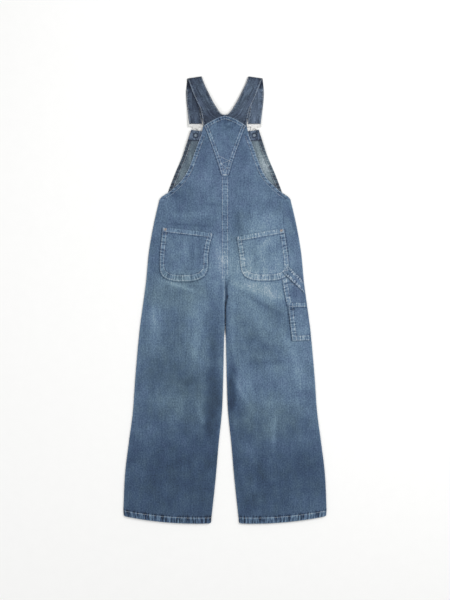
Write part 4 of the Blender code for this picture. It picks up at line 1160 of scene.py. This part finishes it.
def makeStrap(word, side):
    path = strapPath()
    starts, ends = (np.array([place[n] for place in path])[:, None, :] for n in (0, 1))
    z, turn = (np.array([place[n] for place in path])[:, None] for n in (2, 3))
    shares = np.linspace(0, 1, strap["columns"] + 1)
    shares = (shares + 0.5 * (1 - np.cos(np.pi * shares))) / 2  # closer at the edges
    width = np.linalg.norm(ends - starts, axis=2)
    across = (ends - starts) / width[:, :, None]
    ahead = stacked(-across[:, :, 1], across[:, :, 0])
    middle = starts + (ends - starts) * shares[None, :, None]
    steps = np.linalg.norm(np.diff((starts + ends)[:, 0] / 2, axis=0), axis=1) + abs(np.diff(z[:, 0]))
    along = np.concatenate([[0], np.cumsum(steps)])[:, None] + 0 * shares
    fromEdge = np.minimum(shares, 1 - shares) * width
    band = sewnBand(fromEdge, along, strap["band"], strap["roping"])
    fullness = np.sqrt(np.minimum(1, fromEdge / strap["softEdge"]))
    half = cloth["strapPly"] / 2 * (strap["edgePly"] + (1 - strap["edgePly"]) * fullness)
    half = half + strap["ropes"] * bandHeight(band, 80) - strap["sunk"]
    behind = smoothStep(*strap["shoulder"], along)
    level = strap["tone"][word] + (strap["frontTone"][word] - strap["tone"][word]) * behind
    topEdge = [(row.outerX, row.outerY) for row in strap["back"]]
    besideEdge, _, _ = distanceTo(topEdge, middle[:, :, 0], middle[:, :, 1])
    # painted shade beside the top stretch, behind the turn and by the yoke, less a painted highlight on the
    # tail's end
    shadeAndHighlight = behind * strap["contact"][word] * ridge(besideEdge, 0, strap["contactReach"])
    shadeAndHighlight = shadeAndHighlight + strap["turnShade"] * behind * smoothStep(*strap["turnEnds"], along)
    tail = strap["tailLine"]
    onEnd = ridge(along, along.max() - tail["from"], tail["halfWidth"])
    shadeAndHighlight = shadeAndHighlight - strap["tailEnd"][word] * onEnd
    shadeAndHighlight = shadeAndHighlight + strap["underYoke"] * smoothStep(*strap["yokeShade"], along)
    tone = level - shadeAndHighlight + noiseSum(along, fromEdge, [(*strap["mottle"], 81 + side)])
    faces = []
    for way in (1, -1):
        at = middle + way * ahead * (half * np.sin(turn))[:, :, None]
        faces.append(stacked(side * at[:, :, 0], at[:, :, 1], z + way * half * np.cos(turn)))
    run = stacked(shares * width, along)
    made = clothSlab(
        f"strap_cloth_{word}", f"strap_{word}", *faces, run, tone, band, [strapDenim], "denim_dark"
    )
    return made


for word, side in sides:
    pieces[f"strap_{word}"] = makeStrap(word, side)
print("straps laid")


def makeYoke():
    across = np.linspace(-1, 1, yoke["columns"] + 1)
    x, y = spread(mirroredLines(yoke["rows"], yoke["cell"]), (across + 1) / 2, yokeArch(across))
    leftSide, _, arch = yokeEdges()
    sideDistance, sideRun, _ = distanceTo(leftSide, -abs(x), y)
    archDistance, archRun, _ = distanceTo(arch, x, y)
    near = sideDistance < archDistance
    fromEdge, run = np.where(near, sideDistance, archDistance), np.where(near, sideRun, archRun)
    band = sewnBand(fromEdge, run, yoke["border"], yoke["roping"])
    worn = sum((smoothStep(*ends, y) for ends in yoke["wornEnds"]), 0.5)
    tone = yoke["tone"] + noiseSum(x, y, yoke["mottle"]) * worn
    tone = tone - yoke["arch"]["shade"] * smoothStep(*yoke["arch"]["y"], y)
    tone = tone + yoke["tip"]["tone"] * smoothStep(*yoke["tip"]["y"], y)
    base = backTop(x, y) + cloth["gap"]
    rim = smoothStep(*yoke["step"], fromEdge) * smoothStep(*yoke["rounded"], fromEdge)
    ropes = np.minimum(bandHeight(band, 90), yoke["ropeLimit"])
    top = base + cloth["ply"] + cloth["turned"] / 2 * rim + ropes
    made = laidCloth("yoke_cloth", "yoke", x, y, base, top, tone, band, bothFaces, "denim")
    return made


# A turned mouth hem ends in a step, and shades a line of the cloth below it
mouthStep = {"halfWidth": 0.0008, "shadeBelow": 0.002, "shadeHalfWidth": 0.002}


def hemStep(fromMouth, depth):
    half = mouthStep["halfWidth"]
    return cloth["turned"] * smoothStep(depth + half, depth - half, fromMouth)


def hemShadow(fromMouth, depth):
    return ridge(fromMouth, depth + mouthStep["shadeBelow"], mouthStep["shadeHalfWidth"])


def makePocket(word, side):
    rows = pockets[word]
    places = placesDown(rows, pockets["cell"])
    lines = tableAt(rows, places)
    shares = np.linspace(0, 1, math.ceil(pockets["width"] / pockets["cell"]) + 1)
    x, y = spread(lines, shares)
    x = side * x
    fromEdge, run, _ = distanceTo(pocketEdge(word, side), x, y)
    mouth = np.array([lines[0, 0:2], lines[0, 2:4]]) * (side, 1)
    fromMouth, mouthRun, _ = distanceTo(mouth, x, y)
    mouthBand = sewnBand(fromMouth, mouthRun, pockets["mouthHem"], pockets["mouthRoping"])
    band = strongest(sewnBand(fromEdge, run, pocketBand(y), pockets["roping"]), mouthBand)
    hemEnd = pockets["mouthHem"]
    tone = washAndShadeTone(x, y) + noiseSum(x, y, pockets["mottle"])
    tone = tone + pockets["hemTone"] * smoothStep(*pockets["hemToneEnds"], fromMouth)
    tone = tone - pockets["underHem"] * hemShadow(fromMouth, hemEnd)
    down = (places / (len(rows) - 1))[:, None]
    upCurve = np.minimum(1, pockets["puffFrom"] + down)
    puff = pockets["puff"] * np.sin(np.pi * shares) * np.sin(np.pi * upCurve)
    base = backTop(x, y) + cloth["gap"] + np.maximum(0, puff)
    fold = pockets["fold"]
    soft = fold["rise"] * smoothStep(0, fold["width"], fromEdge) - fold["sunk"]
    top = base + cloth["ply"] + hemStep(fromMouth, hemEnd) + soft + bandHeight(band, 100 + side)
    name, node = f"pocket_cloth_{word}", f"pocket_{word}"
    made = laidCloth(name, node, x, y, base, top, tone, band, bothFaces, "denim")
    return made


pieces["yoke"] = makeYoke()
for word, side in sides:
    pieces[f"pocket_{word}"] = makePocket(word, side)
print("yoke and pockets laid")


def makeRuleLayer(layer, number):
    # the front layer, number 1, lies on the back one and has a raised mouth hem
    lines = ruleLines(layer)
    shares = np.linspace(0, 1, rulePocket["columns"] + 1)
    _, y = spread(lines, shares)
    innerX = lines[:, 0, None]
    x = innerX + (legEdges(y)[1] - rulePocket["seamInset"] - innerX) * shares
    up = np.linspace(0, 1, len(lines))[:, None]
    start, rate = rulePocket["swellUp"]
    swell = np.sin(np.pi * shares) * np.sin(np.pi * np.minimum(1, start + up * rate))
    swell = rulePocket["swell"][layer] * swell
    fromInner, run, _ = distanceTo(lines[:, 0:2], x, y)
    fromMouth, mouthRun, _ = distanceTo(stacked(x[-1], y[-1]), x, y)
    fromFoot, footRun, _ = distanceTo(stacked(x[0], y[0]), x, y)
    hemEnd = rulePocket["mouthHem"]
    band = strongest(
        sewnBand(fromInner, run, rulePocket["border"], rulePocket["sideRoping"]),
        sewnBand(fromMouth, mouthRun, hemEnd, rulePocket["mouthRoping"]),
        sewnBand(fromFoot, footRun, rulePocket["foot"], rulePocket["sideRoping"]),
    )
    tone = washAndShadeTone(x, y) + noiseSum(x, y, rulePocket["mottle"])
    tone = tone - rulePocket["underHem"] * hemShadow(fromMouth, hemEnd)
    onHem = smoothStep(*rulePocket["hemToneEnds"], fromMouth)
    tone = tone + number * (rulePocket["hemTone"] * onHem + rulePocket["frontTone"])
    base = backTop(x, y) + cloth["gap"] + number * (cloth["ply"] + cloth["gap"]) + swell
    ropes = bandHeight(band, 120 + number) * rulePocket["ropes"][layer] - rulePocket["sunk"]
    top = base + cloth["ply"] + number * hemStep(fromMouth, hemEnd) + ropes
    node = f"rule_pocket_{layer}"
    made = laidCloth(f"{node}_cloth", node, x, y, base, top, tone, band, bothFaces, "denim")
    return made


for number, layer in enumerate(("back", "front")):
    pieces[f"rule_{layer}"] = makeRuleLayer(layer, number)

# The hammer loop's rows run from its lower edge to its upper edge
hammerLoop = {
    "rows": [acrossRow(*row) for row in (
        (0.1810, 0.0860, 0.1970, 0.1065), (0.1980, 0.0695, 0.2165, 0.0870),
        (0.2225, 0.0470, 0.2350, 0.0690), (0.2480, 0.0225, 0.2430, 0.0560),
    )],
    "rise": 0.0026,
    "columns": 12,
    "cell": 0.0024,
    "band": 0.0075,
    "roping": 1.6,
    "runOfRow": 0.030,  # the cloth's length from one row to the next, near enough for the roping
    "tone": 0.465,
    "middleShade": 0.02,
    "sunk": 0.0001,
    "mottle": ((0.03, 1, 0.010, 131),),
    "stitchIn": 0.003,
    "tacks": (  # place, turn in degrees and length
        (0.1905, 0.0985, 45, 0.010), (0.1860, 0.0930, 0, 0.009),
        (0.1935, 0.1010, 95, 0.009), (0.1950, 0.0935, 45, 0.008),
    ),
}


def makeLoop():
    rows = hammerLoop["rows"]
    places = placesDown(rows, hammerLoop["cell"])
    lines = tableAt(rows, places)
    shares = np.linspace(0, 1, hammerLoop["columns"] + 1)
    x, y = spread(lines, shares)
    x = np.minimum(x, legEdges(y)[1] - rulePocket["seamInset"])
    slack = hammerLoop["rise"] * np.sin(np.pi * (places / (len(rows) - 1)))[:, None]
    width = np.linalg.norm(lines[:, 2:4] - lines[:, 0:2], axis=1)[:, None]
    run = places[:, None] * hammerLoop["runOfRow"] + 0 * shares
    fromEdge = np.minimum(shares, 1 - shares) * width
    band = sewnBand(fromEdge, run, hammerLoop["band"], hammerLoop["roping"])
    tone = hammerLoop["tone"] + noiseSum(x, y, hammerLoop["mottle"])
    tone = tone - hammerLoop["middleShade"] * (1 - np.abs(2 * shares - 1))
    base = backTop(x, y) + cloth["ply"] + 3 * cloth["gap"] + slack
    top = base + cloth["ply"] + bandHeight(band, 130) - hammerLoop["sunk"]
    name, node = "hammer_loop_cloth", "hammer_loop"
    made = laidCloth(name, node, x, y, base, top, tone, band, [washedDenim], "denim")
    return made


pieces["loop"] = makeLoop()
print("rule pocket and loop laid")

# Stitches, joined to one mesh for each thing that carries them
stitch = {
    "length": 0.0030,
    "pitch": 0.0034,
    "width": 0.00085,
    "height": 0.00062,
    "proud": 0.00012,  # how far its middle is above the cloth
    "tackPitch": 0.0008,
    "tackSize": 0.85,
    "aheadBy": 0.0005,  # how far before and after it a stitch looks for its direction
    "castFrom": 0.05,  # the height from which it is dropped on the cloth
}


def stitchTemplate():
    one = bmesh.new()
    bmesh.ops.create_icosphere(one, subdivisions=1, radius=1.0)
    size = (stitch["length"] / 2, stitch["width"] / 2, stitch["height"] / 2)
    bmesh.ops.scale(one, vec=size, verts=one.verts)
    mesh = bpy.data.meshes.new("one_stitch")
    one.to_mesh(mesh)
    one.free()
    return mesh


def alongPath(path):
    # where each stitch of a row goes, which way it points and the height to drop it from
    path = np.array(path)
    steps = np.linalg.norm(np.diff(path[:, 0:2], axis=0), axis=1)
    run = np.concatenate([[0], np.cumsum(steps)])
    count = max(2, int(run[-1] / stitch["pitch"]))
    at = (np.arange(count) + 0.5) * run[-1] / count
    points, before, after = (
        stacked(np.interp(at + step, run, path[:, 0]), np.interp(at + step, run, path[:, 1]))
        for step in (0, -stitch["aheadBy"], stitch["aheadBy"])
    )
    ahead = (after - before) / np.maximum(np.linalg.norm(after - before, axis=1), 1e-9)[:, None]
    above = np.interp(at, run, path[:, 2]) if path.shape[1] > 2 else np.full(count, stitch["castFrom"])
    return zip(points, ahead, above)


template = stitchTemplate()


def sewOn(name, carrier, rows, tacks=()):
    # rows are paths in plan, laid on the carrier from above; tacks are (x, y, angle, length)
    wanted = [(point, ahead, 1.0, above) for path in rows for point, ahead, above in alongPath(path)]
    for x, y, angle, length in tacks:
        along = np.array([math.cos(math.radians(angle)), math.sin(math.radians(angle))])
        over = np.array([-along[1], along[0]])
        for n in range(int(length / stitch["tackPitch"])):
            at = np.array([x, y]) + along * (n * stitch["tackPitch"] - length / 2)
            wanted.append((at, over, stitch["tackSize"], stitch["castFrom"]))
    turns, places = [], []
    for point, ahead, size, above in wanted:
        hit, at, normal, _ = carrier.ray_cast(Vector((*point, above)), Vector((0, 0, -1)))
        if not hit:
            continue
        forward = Vector((*ahead, 0))
        forward = (forward - normal * forward.dot(normal)).normalized()
        turns.append(Matrix((forward, normal.cross(forward), normal)).transposed() * size)
        places.append(at + normal * stitch["proud"])
    joined = bmesh.new()
    for _ in places:
        joined.from_mesh(template)
    mesh = bpy.data.meshes.new(name)
    joined.to_mesh(mesh)
    joined.free()
    points = np.empty(len(mesh.vertices) * 3)
    mesh.vertices.foreach_get("co", points)
    turned = np.einsum("nij,nvj->nvi", np.array(turns), points.reshape(len(places), -1, 3))
    mesh.vertices.foreach_set("co", (turned + np.array(places)[:, None, :]).ravel())
    mesh.update()
    mesh.materials.append(paleThread)
    mesh.shade_smooth()
    made = bpy.data.objects.new(name, mesh)
    bpy.context.scene.collection.objects.link(made)
    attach(made, "root")


def sewBack(word, side):
    lines = tableAt(body["rows"], np.array([hem["stitchUp"] / hem["depth"]]))
    x, y = spread(lines, np.linspace(*hem["stitchEnds"], 60))
    seam = body["seamStitches"]
    paths = [stacked(side * x[0], y[0])]
    paths.append(np.array([(side * seam["x"], y) for y in np.linspace(seam["lowY"], seam["highY"], 80)]))
    lines = tableAt(body["rows"], placesDown(body["rows"], pathCell))
    for fromEdge, lowY, highY in body["armholeStitches"]:
        inRange = lines[(lines[:, 3] >= lowY) & (lines[:, 3] <= highY)]
        paths.append(inset(inRange[:, 2:4], fromEdge, 1) * (side, 1))
    sewOn(f"stitches_back_{word}", pieces[f"back_{word}"], paths)


def sewPocket(word, side):
    edge = pocketEdge(word, side)
    paths = [inset(edge, share * pocketBand(edge[:, 1:2]), side)[1:-1] for share in pockets["stitchRows"]]
    x, y = spread(tableAt(pockets[word], np.array([0.0, 1.0])), np.linspace(*pockets["mouthStitchEnds"], 40))
    down = pockets["mouthStitches"] / pockets["firstRows"]
    paths.append(stacked(side * (x[0] + (x[1] - x[0]) * down), y[0] + (y[1] - y[0]) * down))
    corners, inner, outer = pockets[word][0], pockets["innerTack"], pockets["outerTack"]
    tacks = [
        (side * (corners.innerX + inner[0]), corners.innerY - inner[1], 90, pockets["tackLength"]),
        (side * (corners.outerX - outer[0]), corners.outerY - outer[1], 90, pockets["tackLength"]),
    ]
    sewOn(f"stitches_pocket_{word}", pieces[f"pocket_{word}"], paths, tacks)


def sewStrap(word, side):
    # each row drops from just above its own stretch, so that it misses the one that lies over it
    paths = []
    for turn in (0.0, 2 * math.pi):
        stretch = [place for place in strapPath() if place[3] == turn]
        for flip in (0, 1):
            near, far = np.array([p[flip] for p in stretch]), np.array([p[1 - flip] for p in stretch])
            toward = (far - near) / np.linalg.norm(far - near, axis=1)[:, None]
            x, y = (near + toward * strap["stitchIn"]).T
            above = np.array([p[2] + strap["castFrom"] for p in stretch])
            paths.append(stacked(side * x, y, above))
    sewOn(f"stitches_strap_{word}", pieces[f"strap_{word}"], paths)


def sewYoke():
    leftSide, rightSide, arch = yokeEdges()
    paths = []
    for fromEdge, trim in yoke["stitchRows"]:
        paths += [inset(leftSide, fromEdge, -1)[trim:], inset(rightSide, fromEdge, 1)[trim:]]
        paths.append(inset(arch, fromEdge, -1))
    sewOn("stitches_yoke", pieces["yoke"], paths + list(yoke["crossings"]), [yoke["tack"]])


def sewRulePocket():
    backEdge, frontEdge = ruleLines("back")[:, 0:2], ruleLines("front")[:, 0:2]
    backEdge = backEdge[backEdge[:, 1] > rulePocket["bareAbove"]]
    foot = np.array(rulePocket["footStitches"])
    across = {
        "back": [rulePocket["backMouth"]],
        "front": [rulePocket["frontMouth"], foot, foot + (0, rulePocket["footRows"])],
    }
    for layer, edge in (("back", backEdge), ("front", frontEdge)):
        upSide = [inset(edge, fromEdge, -1) for fromEdge in rulePocket["sideStitches"]]
        sewOn(f"stitches_rule_{layer}", pieces[f"rule_{layer}"], upSide + across[layer])


def sewLoop():
    lines = tableAt(hammerLoop["rows"], placesDown(hammerLoop["rows"], pathCell))
    toward = lines[:, 2:4] - lines[:, 0:2]
    toward = toward / np.linalg.norm(toward, axis=1)[:, None] * hammerLoop["stitchIn"]
    paths = [lines[:, 0:2] + toward, lines[:, 2:4] - toward]
    sewOn("stitches_loop", pieces["loop"], paths, hammerLoop["tacks"])


def sewBib():
    lines = mirroredLines(bib["rows"], pathCell)
    lines = lines[lines[:, 1] < bib["sideHemTop"][0]]
    fromEdge = bib["sideStitches"]
    paths = [inset(lines[:, 0:2], fromEdge, -1), inset(lines[:, 2:4], fromEdge, 1)]
    sewOn("stitches_bib", pieces["bib"], paths)


bpy.context.view_layer.update()
for word, side in sides:
    sewBack(word, side)
    sewPocket(word, side)
    sewStrap(word, side)
sewYoke()
sewRulePocket()
sewLoop()
sewBib()
print("stitches sewn")

# Metal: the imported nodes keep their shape
metals = {"buckle": nickelPlate, "button": nickelPlate, "tack": dullNickel, "rivet": agedCopper}
for metal, surface in metals.items():
    for word, _ in sides:
        shown = bpy.data.objects[f"{metal}_{word}"]
        for holder in shown.material_slots:
            holder.material = surface
        if not shown.material_slots:
            shown.data.materials.append(surface)
print("metal finished")

# Floor, light and camera
studio = {
    "floor": ("#f5f5f4", "#f6f6f5"),
    "floorMottle": 0.0333,
    "floorSize": 6.0,
    "floorZ": -0.0003,
    "key": {"at": (1.7, 1.3, 2.3), "power": 58.0, "size": 2.2},
    "fill": {"at": (-1.9, -0.8, 2.4), "power": 15.0, "size": 2.2},
    "sky": 0.64,
    "lens": 85.0,
    "pictureHeight": 1.875,  # what the long side of the picture spans on the garment
    "garmentZ": 0.005,
}


def makeFloor():
    # matt photographic paper, nearly white, very faintly uneven
    ground = bmesh.new()
    bmesh.ops.create_grid(ground, x_segments=2, y_segments=2, size=studio["floorSize"])
    bmesh.ops.translate(ground, verts=ground.verts, vec=(0, 0, studio["floorZ"]))
    mesh = bpy.data.meshes.new("studio_floor")
    ground.to_mesh(mesh)
    ground.free()
    floor = bpy.data.objects.new("studio_floor", mesh)
    bpy.context.scene.collection.objects.link(floor)
    paper, tree = newFinish("matte_paper")
    place = addNode(tree, "ShaderNodeTexCoord", {}).outputs["Object"]
    scale = 1 / studio["floorMottle"]
    grain = addNode(tree, "ShaderNodeTexNoise", {"Scale": scale, "Vector": place}).outputs["Fac"]
    shade, white = studio["floor"]
    tone = addNode(tree, "ShaderNodeValToRGB", {"stops": [(0.3, shade), (0.7, white)], "Fac": grain})
    shader = addNode(tree, "ShaderNodeBsdfPrincipled", {
        "Base Color": tone.outputs["Color"], "Roughness": 0.95,
    })
    addNode(tree, "ShaderNodeOutputMaterial", {"Surface": shader.outputs["BSDF"]})
    mesh.materials.append(paper)


def softbox(name, look):
    light = bpy.data.lights.new(name, "AREA")
    light.shape, light.size, light.energy = "DISK", look["size"], look["power"]
    holder = bpy.data.objects.new(name, light)
    holder.location = look["at"]
    holder.rotation_euler = (-Vector(look["at"])).to_track_quat("-Z", "Y").to_euler()
    bpy.context.scene.collection.objects.link(holder)


def lightAndFrame():
    softbox("key_softbox", studio["key"])
    softbox("fill_softbox", studio["fill"])
    sky = bpy.data.worlds.new("studio")
    bpy.context.scene.world = sky
    sky.use_nodes = True
    background = sky.node_tree.nodes["Background"]
    background.inputs["Color"].default_value = (1, 1, 1, 1)
    background.inputs["Strength"].default_value = studio["sky"]
    lens = bpy.data.cameras.new("overhead")
    lens.lens = studio["lens"]
    lens.clip_end = 50
    eye = bpy.data.objects.new("overhead", lens)
    eye.location = (0, 0, studio["garmentZ"] + studio["pictureHeight"] * studio["lens"] / lens.sensor_width)
    bpy.context.scene.collection.objects.link(eye)
    bpy.context.scene.camera = eye
    bpy.context.scene.view_settings.view_transform = "Standard"


makeFloor()
lightAndFrame()
print("studio set")
